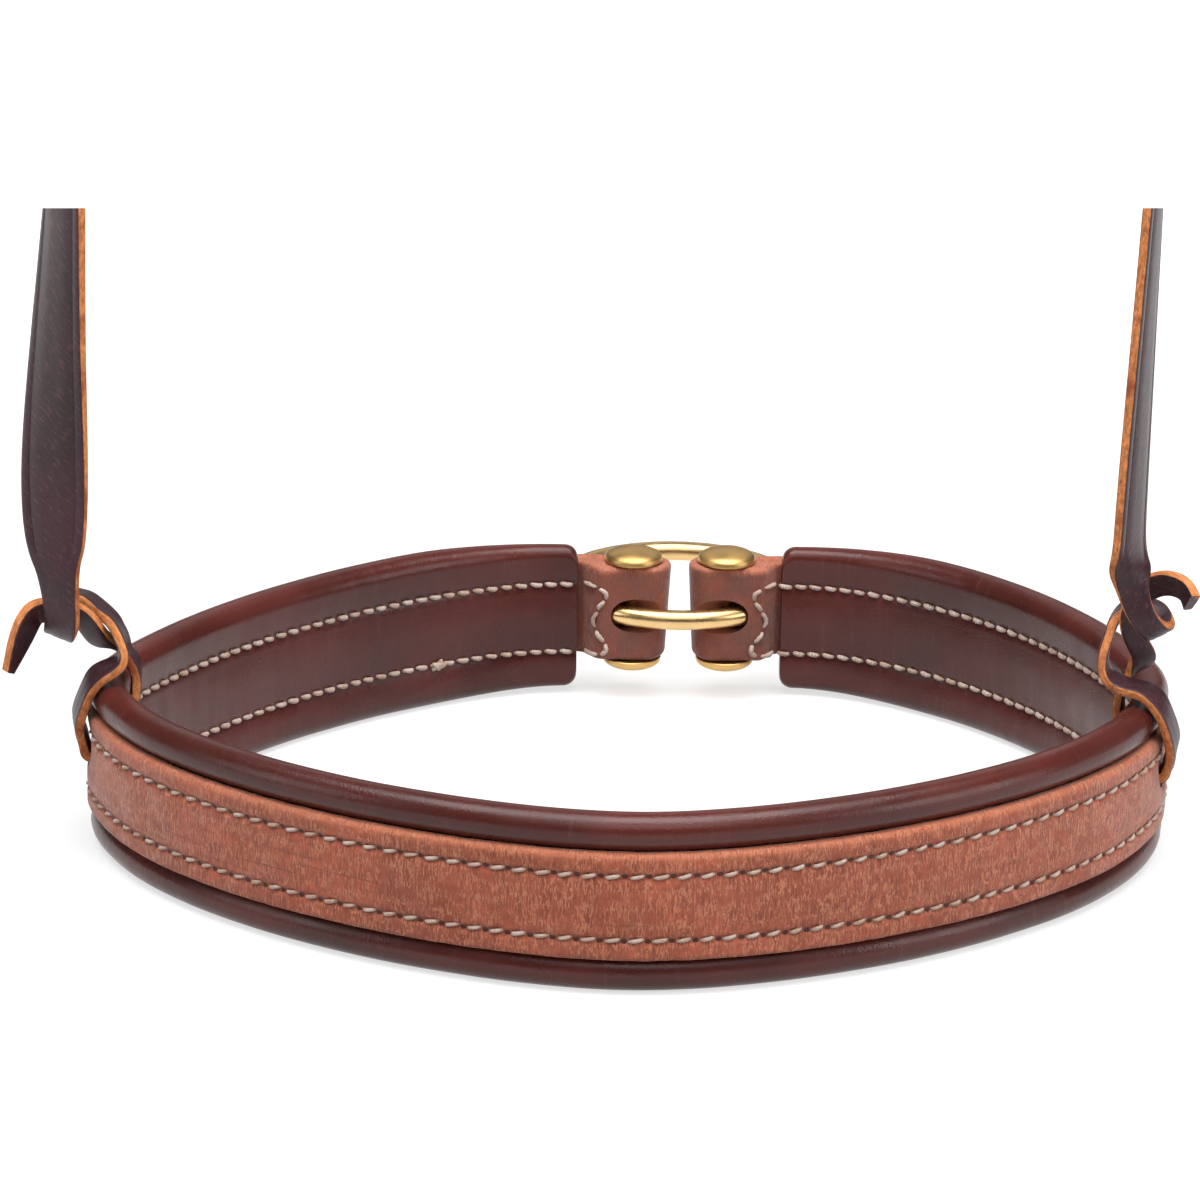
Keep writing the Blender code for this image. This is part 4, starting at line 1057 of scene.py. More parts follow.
# Hanger straps
# The tables are in millimetres, for a thong of DRAWN_THONG by DRAWN_THICKNESS.
# A strap's row: outwards and rearwards from the hanger's station, share of the way up from the
# hinge to the top, the turn of its front edge from inwards towards the nose, and share of width.
# A thong's row: outwards, rearwards and up from the wrap's top, front edge, and share of width.
LEFT_STRAP = (
    (7.9, -2, 1, 73, 1),
    (9.9, -2.4, 0.6, 60, 1),
    (11.2, -2.8, 0.26, 42, 1),
    (11.4, -3.5, 0.065, 38, 0.87),
    (11.3, -4.4, 0, 42, 0.67),
)
LEFT_KNOT_DOWN = (
    ((11.1, -5.1, 21.5), (-0.72, -0.68, 0), 1.38),
    ((10.9, -5.4, 17.6), (-0.7, -0.7, -0.1), 1.28),
    ((10.7, -5.2, 14.0), (-0.72, -0.66, -0.2), 1.22),
    ((10.6, -3.2, 10.6), (-0.8, -0.5, -0.3), 1.1),
    ((10.4, 0.0, 9.0), (-0.88, -0.3, -0.3), 1),
    ((10.0, 3.4, 9.8), (-0.95, -0.2, -0.1), 0.96),
    ((9.0, 5.6, 12.4), (-0.9, -0.3, 0), 1),
    ((7.0, 6.4, 14.2), (-0.7, -0.7, 0.2), 1),
    ((4.6, 6.4, 14.0), (-0.2, -0.95, 0), 1),
    ((2.2, 5.8, 12.4), (0, -1, 0), 1),
    ((-0.1, 4.2, 11.0), (0.1, -1, 0), 1),
    ((-1.8, 1.7, 9.6), (0.2, -1, 0.1), 1),
    ((-2.9, -1.3, 7.6), (0.3, -1, 0.1), 1),
    ((-3.1, -3.5, 5.0), (0.3, -0.95, 0), 1),
    ((-2.1, -4.2, 2.9), (0.1, -1, 0), 1),
    ((0.0, -4.3, 1.5), (-0.1, -1, -0.1), 1),
    ((2.8, -4.1, 0.1), (-0.2, -1, -0.1), 1),
)
LEFT_KNOT_UP = (
    ((-5.6, 4.4, 0.4), (0.2, -1, 0), 1),
    ((-4.0, 4.7, 2.6), (0.1, -1, 0.1), 1),
    ((-1.8, 4.4, 4.0), (-0.1, -0.95, 0.3), 1),
    ((0.4, 3.2, 5.2), (-0.4, -0.8, 0.5), 0.95),
    ((2.4, 1.8, 7.6), (-0.55, -0.65, 0.5), 0.9),
    ((4.3, 0.8, 10.8), (-0.5, -0.6, 0.6), 0.86),
    ((6.8, 0.4, 13.0), (-0.3, -0.45, 0.85), 0.82),
    ((9.6, 0.4, 13.6), (-0.05, -0.35, 0.95), 0.8),
    ((12.4, 0.3, 14.0), (0.2, -0.4, 0.9), 0.9),
    ((15.6, 0.2, 13.6), (0.3, -0.45, 0.85), 0.98),
    ((17.6, -0.2, 10.6), (0.7, -0.5, 0.5), 1),
    ((19.6, -0.8, 6.4), (0.8, -0.55, 0.3), 0.8),
    ((21.8, -1.6, 1.4), (0.8, -0.55, 0.3), 0.36),
)
RIGHT_STRAP = (
    (-3.2, -1, 1, 94, 1),
    (-3.8, -1.6, 0.55, 89, 1),
    (-4.2, -2.2, 0.215, 85, 1),
    (-4.2, -2.8, 0.055, 82, 0.93),
    (-3.9, -3.3, 0, 68, 0.79),
)
RIGHT_KNOT_DOWN = (
    ((-3.3, -3.7, 25.2), (-0.75, -0.65, -0.2), 1.2),
    ((-2.1, -3.9, 21.2), (-0.8, -0.5, -0.4), 1),
    ((-0.2, -3.8, 17.6), (-0.8, -0.35, -0.5), 0.9),
    ((1.7, -2.4, 15.0), (-0.8, -0.2, -0.5), 0.86),
    ((2.6, 0.6, 13.9), (-0.8, -0.2, -0.5), 0.86),
    ((2.2, 3.9, 14.3), (-0.8, -0.3, -0.5), 0.88),
    ((0.4, 6.3, 15.6), (-0.7, -0.5, -0.4), 0.95),
    ((-2.6, 7.1, 17.0), (-0.2, -0.95, 0), 1),
    ((-5.6, 6.5, 16.6), (0.1, -1, 0), 1),
    ((-7.9, 4.5, 14.2), (0, -1, 0), 1),
    ((-8.8, 1.5, 11.2), (0.1, -1, 0), 1),
    ((-9.1, -1.5, 8.2), (0.2, -0.95, 0), 1),
    ((-8.4, -3.3, 5.3), (0.2, -1, 0), 1),
    ((-6.4, -4.0, 3.0), (0, -1, -0.1), 1),
    ((-3.2, -4.2, 1.7), (-0.1, -1, -0.1), 1),
    ((0.2, -4.1, 1.5), (-0.1, -1, -0.1), 1),
    ((3.4, -3.9, -0.2), (-0.2, -1, -0.1), 1),
)
RIGHT_KNOT_UP = (
    ((-5.2, 4.7, 0.6), (0.1, -1, 0), 1),
    ((-3.4, 4.9, 3.0), (-0.2, -1, 0.1), 1),
    ((-1.7, 4.1, 5.2), (-0.6, -0.75, 0.2), 0.95),
    ((-1.6, 2.9, 7.8), (-0.85, -0.5, 0.1), 0.84),
    ((-2.9, 1.6, 10.6), (-0.9, -0.42, 0), 0.76),
    ((-3.8, 0.9, 13.6), (-0.92, -0.38, 0.1), 0.76),
    ((-4.0, 0.8, 16.6), (-0.95, -0.3, 0.2), 0.76),
    ((-3.0, 1.2, 19.8), (-0.85, -0.25, 0.45), 0.8),
    ((-0.9, 1.7, 22.6), (-0.55, -0.25, 0.8), 0.84),
    ((2.2, 1.7, 24.2), (-0.2, -0.25, 0.95), 0.86),
    ((5.4, 0.7, 24.6), (0.05, -0.4, 0.9), 0.9),
    ((8.2, -1.0, 24.0), (0.3, -0.5, 0.8), 0.9),
    ((9.9, -2.8, 22.2), (0.5, -0.5, 0.7), 0.85),
)


class HangerForm(NamedTuple):
    """One side's hanger, in millimetres.

    along is 1 where rearwards is along the loop and -1 where it is against it. The last five say where
    the thong meets the knot outside and inside the band, how far off it is there, and how low.
    """
    along: int
    slot: float
    hinge: float
    top: float
    strap: tuple
    down: tuple
    up: tuple
    out_knot: float
    in_knot: float
    out_side: float
    in_side: float
    low: float


HANGERS = {
    "left": HangerForm(1, 3.5, 26, 103.0, LEFT_STRAP, LEFT_KNOT_DOWN, LEFT_KNOT_UP,
                       -3.8, 4.0, 1.0, 2.4, 3.0),
    "right": HangerForm(-1, 5.0, 29, 107.6, RIGHT_STRAP, RIGHT_KNOT_DOWN, RIGHT_KNOT_UP,
                        -3.3, 4.3, 1.6, 2.2, 3.8),
}


def wrap_thong(fit, form):
    """The thong's path down outside the band, in at the slot and up inside, from knot to knot."""
    unit, top, slot = fit.knot_unit, fit.wrap_top / MM, form.slot
    roll = fit.band.roll_radius / MM
    deep = fit.hanger.thickness / MM / 2
    bend = deep + BEND_INSIDE
    out = fit.strip_face / MM + THREAD_ROOM + deep
    inner = -roll - WRAP_CLEARANCE - deep
    out_knot, in_knot = form.out_knot * unit, form.in_knot * unit
    path = [(roll + form.out_side * unit, out_knot, top - form.low * unit),
            (out - 0.2 * unit, mixed(slot, out_knot, 0.7), 0.574 * top),
            (out, mixed(slot, out_knot, 0.3), 0.359 * top),
            (out, slot, 1.33 * bend), (out - 0.3 * bend, slot, 0.3 * bend),
            (out - 1.27 * bend, slot, 0), (0, slot, 0), (inner + bend, slot, 0),
            (inner + 0.3 * bend, slot, 0.3 * bend), (inner, slot, 1.33 * bend),
            (inner, mixed(slot, in_knot, 0.4), 0.407 * top),
            (inner - 0.4 * unit, mixed(slot, in_knot, 0.8), 0.646 * top),
            (-roll - form.in_side * unit, in_knot, top - 3 * unit)]
    return [(Vector((outward, rearward, height - top)), Vector((0, -1, 0)), fit.hanger.thong / MM)
            for outward, rearward, height in path]


def hanger_entries(fit, form):
    """Place, front edge and width along one whole hanger, from its cut top to its tail."""
    unit = fit.knot_unit
    entries = []
    for outward, rearward, share, turn, width in form.strap:
        height = mixed(form.hinge * unit, form.top + TOP_SPARE, share)
        entries.append((Vector((outward * unit, rearward * unit, height)),
                        Vector((-cos(radians(turn)), -sin(radians(turn)), 0)),
                        fit.hanger.width / MM * width))
    down, up = [[(Vector(place) * unit, Vector(edge), fit.hanger.thong / MM * width)
                 for place, edge, width in knot] for knot in (form.down, form.up)]
    return entries + down + wrap_thong(fit, form) + up


def strap_frames(entries, per_span):
    """Point, direction of travel, front edge and half width at each step along a smooth strap."""
    points = smooth_line([place for place, edge, width in entries], per_span)
    directions = smooth_line([edge.normalized() for place, edge, width in entries], per_span)
    spans = smooth_line([Vector((width, 0, 0)) for place, edge, width in entries], per_span)
    frames = []
    for index, point in enumerate(points):
        before, after = points[max(index - 1, 0)], points[min(index + 1, len(points) - 1)]
        along = (after - before).normalized()
        edge = (directions[index] - along * directions[index].dot(along)).normalized()
        frames.append((point, along, edge, spans[index].x / 2))
    return frames


def strap_section(half, deep):
    """A strap's outline as (across, lift, rawness): two creased faces and two raw edges."""
    crease = 0.2 * eased((half - 5) / 2)
    inset = min(2.2, half * 0.5)
    side = [(half - 0.55, deep, 0), (half - 0.2, deep - 0.1, 0.35), (half - 0.02, deep - 0.32, 1),
            (half + 0.05, 0.3, 1), (half + 0.05, -0.3, 1), (half - 0.02, 0.32 - deep, 1),
            (half - 0.2, 0.1 - deep, 0.35), (half - 0.55, -deep, 0)]
    under = [(half - inset, -deep, 0), (half * 0.4, -deep, 0), (0, -deep, 0), (-half * 0.4, -deep, 0),
             (inset - half, -deep, 0)]
    over = [(inset - half - 0.35, deep, 0), (inset - half, deep - crease, 0),
            (inset - half + 0.35, deep, 0), (-half * 0.25, deep + 0.08, 0), (half * 0.25, deep + 0.08, 0),
            (half - inset - 0.35, deep, 0), (half - inset, deep - crease, 0), (half - inset + 0.35, deep, 0)]
    return side + under + [(-x, z, mark) for x, z, mark in side[::-1]] + over


def camera_axes():
    """The camera's view, its leaning right and its leaning up."""
    view = CAMERA_VIEW.normalized()
    right = view.cross(Vector((0, 0, 1))).normalized()
    up = right.cross(view)
    return (view, right * cos(CAMERA_ROLL) + up * sin(CAMERA_ROLL),
            up * cos(CAMERA_ROLL) - right * sin(CAMERA_ROLL))


def cropped(mesh):
    """The strap with its top cut level as the photograph shows it, and the cut closed."""
    view, right, up = camera_axes()
    shape = bmesh.new()
    shape.from_mesh(mesh)
    bmesh.ops.bisect_plane(shape, geom=shape.verts[:] + shape.edges[:] + shape.faces[:], dist=CUT_WELD,
                           plane_co=CAMERA_AT, plane_no=right.cross(view + up * CUT_RISE), clear_outer=True)
    close_ends(shape)
    shape.to_mesh(mesh)
    shape.free()
    return mesh


def build_hanger(fit, side):
    """The hanger's mesh, and its outline where it hinges."""
    form, loop, deep = HANGERS[side], fit.loop, fit.hanger.thickness / MM / 2
    rings = []
    for point, along, edge, half in strap_frames(hanger_entries(fit, form), HANGER_STEPS):
        face = edge.cross(along)
        ring = []
        for across, lift, mark in strap_section(half, deep):
            spot = point + edge * across + face * lift
            reach = fit.hanger_at[side] + form.along * spot.y * MM
            height = spot.z * MM + fit.wrap_top
            drawn = press(fit, reach, height) if spot.x > 0 else 0
            ring.append(loop.at(reach, spot.x * MM - drawn, height))
        rings.append(ring)
    marks = [mark for across, lift, mark in strap_section(half, deep)]
    mesh = skin(side + "_hanger_skin", rings, marks=marks, zero_at=STRAP_ZERO)
    return cropped(mesh), rings[(len(form.strap) - 1) * HANGER_STEPS]


# Finishes
def feed(tree, socket, value):
    """Links a socket to another, or sets the value it holds."""
    if isinstance(value, bpy.types.NodeSocket):
        tree.links.new(value, socket)
    elif socket.type == "RGBA":
        socket.default_value = tuple(value)[:3] + (1,)
    else:
        socket.default_value = value


class Finish:
    """A node material in the making, built round its Principled shader."""

    def __init__(self, name, **sockets):
        self.material = bpy.data.materials.new(name)
        self.material.use_nodes = True
        self.tree = self.material.node_tree
        self.shader = self.tree.nodes["Principled BSDF"]
        for key, value in sockets.items():
            self.feed(self.shader.inputs[key.replace("_", " ").title().replace("Ior", "IOR")], value)
        self.object = self.node("TexCoord").outputs["Object"]
        self.metre = self.node("UVMap").outputs["UV"]

    def feed(self, socket, value):
        feed(self.tree, socket, value)

    def along_and_round(self):
        """The UV map's two distances, each as a value."""
        parts = self.node("SeparateXYZ", {0: self.metre})
        return parts.outputs[0], parts.outputs[1]

    def node(self, kind, inputs=(), **settings):
        made = self.tree.nodes.new("ShaderNode" + kind)
        for key, value in settings.items():
            setattr(made, key, value)
        for key, value in dict(inputs).items():
            self.feed(made.inputs[key], value)
        return made

    def math(self, operation, first, second=0.0):
        return self.node("Math", {0: first, 1: second}, operation=operation).outputs[0]

    def times(self, first, second):
        return self.math("MULTIPLY", first, second)

    def plus(self, first, second):
        return self.math("ADD", first, second)

    def minus(self, first, second):
        return self.math("SUBTRACT", first, second)

    def size(self, value):
        return self.math("ABSOLUTE", value)

    def ramp(self, value, low, high, start=0.0, end=1.0):
        """Runs smoothly from start to end while the value goes from low to high."""
        return self.node("MapRange", {"Value": value, "From Min": low, "From Max": high,
                                      "To Min": start, "To Max": end},
                         interpolation_type="SMOOTHSTEP").outputs[0]

    def fall(self, value, low, high):
        """1 up to the low value and 0 from the high one, with a smooth run between them."""
        return self.ramp(value, low, high, 1.0, 0.0)

    def stretched(self, source, scale):
        return self.node("VectorMath", {0: source, 1: scale}, operation="MULTIPLY").outputs[0]

    def noise(self, source, scale, detail=2.0, rough=0.5):
        return self.node("TexNoise", {"Vector": source, "Scale": scale, "Detail": detail,
                                      "Roughness": rough}).outputs[0]

    def cells(self, scale):
        return self.node("TexVoronoi", {"Vector": self.object, "Scale": scale}).outputs[0]

    def cloud(self, scale, low, high, detail=4, rough=0.5, start=0.0, end=1.0):
        """Soft patches over the whole piece: start where the noise is low and end where it is high."""
        return self.ramp(self.noise(self.object, scale, detail, rough), low, high, start, end)

    def blend(self, first, second, share):
        return self.node("Mix", {0: share, 6: first, 7: second}, data_type="RGBA").outputs[2]

    def tint(self, colour, target, share, strength):
        """A colour drawn towards a target where a share says so, to a strength."""
        return self.blend(colour, target, self.times(share, strength))

    def bump(self, height, strength, distance, normal=None):
        made = self.node("Bump", {"Strength": strength, "Distance": distance, "Height": height})
        if normal:
            self.feed(made.inputs["Normal"], normal)
        return made.outputs[0]

    def done(self, colour, roughness=None, normal=None):
        self.feed(self.shader.inputs["Base Color"], colour)
        if roughness:
            self.feed(self.shader.inputs["Roughness"], roughness)
        if normal:
            self.feed(self.shader.inputs["Normal"], normal)
        return self.material


def shaded(colour, red, green=None, blue=None):
    """A colour made darker or paler, by one share or by a share for each channel."""
    shares = (red, red if green is None else green, red if blue is None else blue)
    return tuple(value * share for value, share in zip(colour, shares))


def hole_mask(made, along, off_row, pitch, start, end):
    """Near 1 at a row's needle holes between a start and an end, and 0 elsewhere."""
    across = made.times(made.math("PINGPONG", along, pitch / 2), 0.8)
    upright = made.times(off_row, 1.05)
    apart = made.math("SQRT", made.plus(made.times(across, across), made.times(upright, upright)))
    holes = made.fall(apart, HOLE_RADIUS, HOLE_RIM)
    stretch = made.times(made.math("GREATER_THAN", along, start), made.math("LESS_THAN", along, end))
    return made.times(holes, stretch)


def hairs(made, scale, stretch, width, seed):
    """Fine wavy lines up the band, in patches, as grain and fibres show in pulled leather."""
    place = made.node("VectorMath", {0: made.stretched(made.metre, (1, stretch, 1)), 1: (0, 0, seed)},
                      operation="ADD").outputs[0]
    value = made.noise(place, scale, 3, 0.55)
    line = made.fall(made.size(made.minus(value, 0.5)), 0, width)
    patch = made.ramp(made.noise(made.metre, 260, 3, 0.6), 0.3, 0.56)
    return made.times(line, patch)


def harness_finish(colours, fit, row):
    """Waxed pull-up leather: fibrous, finely wrinkled, paler at its top edge, with painted shade at its
    lower edge, in its creases, in its stitching grooves and in its needle holes.
    """
    made = Finish("harness_leather", roughness=0.5, specular_ior_level=0.35,
                  sheen_weight=0.25, sheen_roughness=0.4)
    start, length = fit.band.setback + TAB_BLEND, fit.loop.length
    along, down = made.along_and_round()
    off_row = made.minus(made.size(down), row)
    holes = hole_mask(made, along, off_row, fit.thread.pitch, start, length - start)
    tone = tuple(colours.harness)
    from_end = made.minus(length / 2, made.size(made.minus(along, length / 2)))
    tab = made.fall(from_end, 20 * MM, 34 * MM)
    mottle = made.cloud(40, 0.34, 0.68, rough=0.6)
    colour = made.blend(shaded(tone, 0.76), shaded(tone, 1.12), mottle)
    bruise = made.cloud(75, 0.5, 0.66, rough=0.62)
    bruised = made.times(bruise, made.plus(0.5, made.times(tab, 0.3)))
    colour = made.blend(colour, shaded(tone, 0.6, 0.7, 0.9), bruised)
    speck = made.cloud(560, 0.38, 0.62, 5, 0.7)
    colour = made.blend(shaded(tone, 0.5), colour, made.plus(made.times(speck, 0.55), 0.45))
    wander = made.times(made.noise(made.object, 420, 4, 0.7), 3.0 * MM)
    top_edge = made.ramp(made.minus(wander, down), 10.8 * MM, 12.8 * MM)
    colour = made.tint(colour, shaded(tone, 1.3, 1.7, 1.6), top_edge, 0.6)
    # Painted shade: darker towards the strip's lower edge, which turns down and away from the lamps.
    low_edge_shade = made.ramp(made.plus(wander, down), 11.6 * MM, 13.8 * MM)
    colour = made.tint(colour, shaded(tone, 0.42, 0.48, 0.6), low_edge_shade, 0.7)
    dark = hairs(made, 900, 0.25, 0.045, 3.0)
    colour = made.tint(colour, shaded(tone, 0.42), dark, 0.6)
    light = hairs(made, 1500, 0.17, 0.055, 7.0)
    colour = made.tint(colour, shaded(tone, 1.5, 2.5, 2.7), light, 0.85)
    # Faint crease lines near the strip's middle, darkened with painted shade and sunk by the bump below.
    crease = made.noise(made.stretched(made.metre, (0.035, 1, 1)), 640, 2, 0.5)
    folded = made.times(made.ramp(crease, 0.62, 0.7),
                        made.fall(made.size(down), 3 * MM, 5 * MM))
    colour = made.tint(colour, shaded(tone, 0.5), folded, 0.55)
    # Painted shade in the stitching grooves along the rows.
    groove_shade = made.fall(made.size(off_row), 0.5 * MM, 1.3 * MM)
    colour = made.tint(colour, shaded(tone, 0.55), groove_shade, 0.35)
    worn = made.blend(shaded(tone, 0.36, 0.62, 0.95), shaded(tone, 0.55, 0.7, 0.9),
                      made.cloud(130, 0.35, 0.62, rough=0.6))
    on_tab = made.times(tab, made.minus(0.84, made.times(top_edge, 0.5)))
    colour = made.blend(colour, worn, on_tab)
    # Painted shade in the needle holes, which the bump below also sinks.
    colour = made.tint(colour, (0.045, 0.012, 0.01), holes, 0.92)
    rough = made.cloud(150, 0.3, 0.7, 3, start=0.46, end=0.66)
    nap = made.noise(made.stretched(made.metre, (1, 0.22, 1)), 1900, 4, 0.65)
    normal = made.bump(nap, 0.5, 0.18 * MM)
    normal = made.bump(made.cells(1500), 0.25, 0.12 * MM, normal)
    normal = made.bump(made.minus(light, dark), 0.5, 0.12 * MM, normal)
    sunk = made.minus(1.0, made.plus(holes, made.times(folded, 0.5)))
    normal = made.bump(sunk, 0.6, 0.3 * MM, normal)
    return made.done(colour, rough, normal)


def burgundy_finish(colours, fit, row):
    """Soft semi-gloss cover leather with fine streaks across the band, and needle pricks darkened with
    painted shade.
    """
    made = Finish("burgundy_leather", roughness=0.3, specular_ior_level=0.34)
    start = fit.band.setback
    along, down = made.along_and_round()
    off_row = made.minus(made.size(down), row + LINING_HOLE_RISE)
    holes = hole_mask(made, along, off_row, fit.thread.inner_pitch, start, fit.loop.length - start)
    tone = tuple(colours.burgundy)
    cloud = made.cloud(34, 0.32, 0.7, rough=0.55)
    colour = made.blend(shaded(tone, 0.72), shaded(tone, 1.2), cloud)
    streak = made.noise(made.stretched(made.metre, (1, 0.08, 1)), 520, 3, 0.6)
    pale = made.times(made.ramp(streak, 0.54, 0.72), made.cloud(55, 0.42, 0.62, 2))
    colour = made.tint(colour, shaded(tone, 1.5, 2.6, 2.8), pale, 0.5)
    scuff = made.cloud(240, 0.6, 0.74, 5, 0.7)
    colour = made.tint(colour, shaded(tone, 1.3, 1.8, 1.9), scuff, 0.35)
    # Painted shade in the needle pricks.
    colour = made.tint(colour, shaded(tone, 0.25), holes, 0.6)
    rough = made.cloud(90, 0.3, 0.7, 3, start=0.25, end=0.35)
    normal = made.bump(made.cells(2100), 0.3, 0.1 * MM)
    normal = made.bump(streak, 0.25, 0.2 * MM, normal)
    return made.done(colour, rough, normal)


def latigo_finish(colours):
    """Oiled dark leather, bright and fibrous where its edges are cut."""
    made = Finish("latigo_leather", roughness=0.45, specular_ior_level=0.3)
    raw = made.node("Attribute", attribute_name="raw_edge").outputs["Fac"]
    tone, bright = tuple(colours.latigo), tuple(colours.raw_edge)
    cloud = made.cloud(60, 0.3, 0.7)
    dark = made.blend(shaded(tone, 0.75), shaded(tone, 1.5), cloud)
    slope = made.node("Mapping", {"Vector": made.metre, "Rotation": (0, 0, radians(35))}).outputs[0]
    grain = made.noise(made.stretched(slope, (1, 0.22, 1)), 1500, 3, 0.6)
    dark = made.tint(dark, shaded(tone, 3.4, 4.2, 3.8), made.ramp(grain, 0.53, 0.66), 0.55)
    fibre = made.noise(made.stretched(made.metre, (0.35, 1, 1)), 1600, 4, 0.65)
    cut = made.blend(shaded(bright, 0.6), shaded(bright, 1.25), made.ramp(fibre, 0.32, 0.68))
    patch = made.cloud(150, 0.3, 0.54, rough=0.6)
    cut = made.blend(shaded(bright, 0.5, 0.34, 0.4), cut, patch)
    fleck = made.cloud(900, 0.6, 0.68, rough=0.7)
    cut = made.tint(cut, shaded(bright, 0.16), fleck, 0.7)
    ragged = made.times(made.noise(made.object, 520, 4, 0.65), 0.5)
    share = made.ramp(made.plus(raw, ragged), 0.84, 1.12)
    colour = made.blend(dark, cut, share)
    rough = made.ramp(share, 0, 1, 0.42, 0.75)
    normal = made.bump(made.cells(1700), 0.2, 0.12 * MM)
    normal = made.bump(grain, 0.4, 0.2 * MM, normal)
    return made.done(colour, rough, normal)


def brass_finish(name, tone, low, high):
    """Satin brass with the fine wander of a tumbled polish."""
    made = Finish(name, metallic=1.0, roughness=0.25)
    wander = made.cloud(120, 0.3, 0.7)
    colour = made.blend(shaded(tone, 0.9), shaded(tone, 1.05), wander)
    tarnish = made.cloud(700, 0.56, 0.72, 5, 0.65)
    colour = made.tint(colour, shaded(tone, 0.7, 0.6, 0.45), tarnish, 0.12)
    rough = made.cloud(260, 0.3, 0.7, start=low, end=high)
    normal = made.bump(made.noise(made.object, 150, 2), 0.05, 0.2 * MM)
    return made.done(colour, rough, normal)


def thread_finish(colours):
    """Waxed thread, soiled in patches."""
    made = Finish("waxed_thread", roughness=0.75, sheen_weight=0.2, sheen_roughness=0.5)
    tone = tuple(colours.thread)
    soil = made.cloud(220, 0.35, 0.68, 3)
    colour = made.blend(shaded(tone, 1.08), shaded(tone, 0.85, 0.72, 0.62), soil)
    fibre = made.noise(made.object, 5200, 3, 0.6)
    normal = made.bump(fibre, 0.4, 0.08 * MM)
    return made.done(colour, None, normal)


def filler_finish(name, tone):
    """Plain fibres, for what the leather hides."""
    made = Finish(name, roughness=0.95)
    fibre = made.noise(made.object, 2600, 4, 0.7)
    colour = made.blend(shaded(tone, 0.7), shaded(tone, 1.15), made.ramp(fibre, 0.3, 0.7))
    return made.done(colour, None, made.bump(fibre, 0.5, 0.2 * MM))


# Stage
def ray_level(tree, plain_level, camera, glossy):
    """A strength with an extra part for what the camera sees and another for reflections."""
    path = tree.nodes.new("ShaderNodeLightPath")
    level = plain_level
    for ray, extra in (("Is Camera Ray", camera), ("Is Glossy Ray", glossy)):
        step = tree.nodes.new("ShaderNodeMath")
        step.operation = "MULTIPLY_ADD"
        step.inputs[1].default_value = extra
        tree.links.new(path.outputs[ray], step.inputs[0])
        feed(tree, step.inputs[2], level)
        level = step.outputs[0]
    return level


def build_floor():
    """A floor that glows for the camera, less near the object, so that its shadow shows."""
    shape = bmesh.new()
    bmesh.ops.create_grid(shape, x_segments=1, y_segments=1, size=FLOOR_HALF)
    bmesh.ops.translate(shape, verts=shape.verts, vec=(0, 0, CAD_BOX[0][2] - FLOOR_GAP))
    mesh = kept(shape, "floor")
    made = Finish("studio_floor", base_color=FLOOR_TONE, roughness=0.9, specular_ior_level=0.1,
                  emission_color=(1, 1, 1))
    reach = made.node("VectorMath", {0: made.object}, operation="LENGTH").outputs["Value"]
    limits = dict(zip(("From Min", "From Max", "To Min", "To Max"), FLOOR_FADE))
    fade = made.node("MapRange", {"Value": reach, **limits}).outputs[0]
    level = made.times(fade, ray_level(made.tree, 0, 1, FLOOR_GLOSS))
    made.feed(made.shader.inputs["Emission Strength"], level)
    mesh.materials.append(made.material)
    linked("floor", mesh)


def build_world():
    """A white backdrop that lights little."""
    world = bpy.data.worlds.new("studio")
    bpy.context.scene.world = world
    world.use_nodes = True
    tree = world.node_tree
    backdrop = tree.nodes["Background"]
    backdrop.inputs["Color"].default_value = (1, 1, 1, 1)
    level = ray_level(tree, WORLD_LEVEL, 1 - WORLD_LEVEL, WORLD_GLOSS - WORLD_LEVEL)
    feed(tree, backdrop.inputs["Strength"], level)


def build_lamps():
    """Soft lamps round the object, all aimed at its middle."""
    for name, place, size, power in LAMPS:
        lamp = bpy.data.lights.new(name, "AREA")
        lamp.shape = "RECTANGLE"
        lamp.size, lamp.size_y = size
        lamp.energy = power
        holder = linked(name, lamp)
        holder.location = place
        holder.rotation_euler = (LAMP_AIM - Vector(place)).to_track_quat("-Z", "Y").to_euler()


def build_camera():
    """The camera fitted to the photograph: its place, its view and its small roll."""
    view, leaning, upright = camera_axes()
    lens = bpy.data.cameras.new("camera")
    lens.lens = CAMERA_LENS
    lens.sensor_width = 36
    lens.clip_start = 0.05
    camera = linked("camera", lens)
    camera.matrix_world = Matrix((
        (leaning.x, upright.x, -view.x, CAMERA_AT.x), (leaning.y, upright.y, -view.y, CAMERA_AT.y),
        (leaning.z, upright.z, -view.z, CAMERA_AT.z), (0, 0, 0, 1)))
    bpy.context.scene.camera = camera


# Operators
class NOSEBAND_OT_stage(bpy.types.Operator):
    """Set up the floor, the soft lamps and the camera"""
    bl_idname = "noseband.stage"
    bl_label = "Stage"

    def execute(self, context):
        context.scene.view_settings.view_transform = "Standard"
        build_floor()
        build_world()
        build_lamps()
        build_camera()
        return {"FINISHED"}


class NOSEBAND_OT_backing(bpy.types.Operator):
    """Make the rolled backing with its hidden cords and felt"""
    bl_idname = "noseband.backing"
    bl_label = "Backing"

    def execute(self, context):
        fit, colours = Fit(), context.scene.noseband_colours
        section = cover_section(fit, fit.loop.front)
        row = row_offset(section, COVER_ZERO, fit.thread.inner_row)
        leather = burgundy_finish(colours, fit, row)
        cover = carved(build_cover(fit), slot_blocks(fit))
        backing = placed("rolled_backing", cover, "band", leather, ["backing_cover"])
        cord = filler_finish("filler_cord", CORD_TONE)
        for name, side in (("upper", 1), ("lower", -1)):
            placed(name + "_cord", build_cord(fit, side), "band", cord,
                   [name + "_roll_cord"])
        felt = carved(build_felt(fit), slot_blocks(fit))
        placed("felt_filler", felt, "band", filler_finish("filler_felt", FELT_TONE),
               ["flat_filler"])
        return {"FINISHED"}


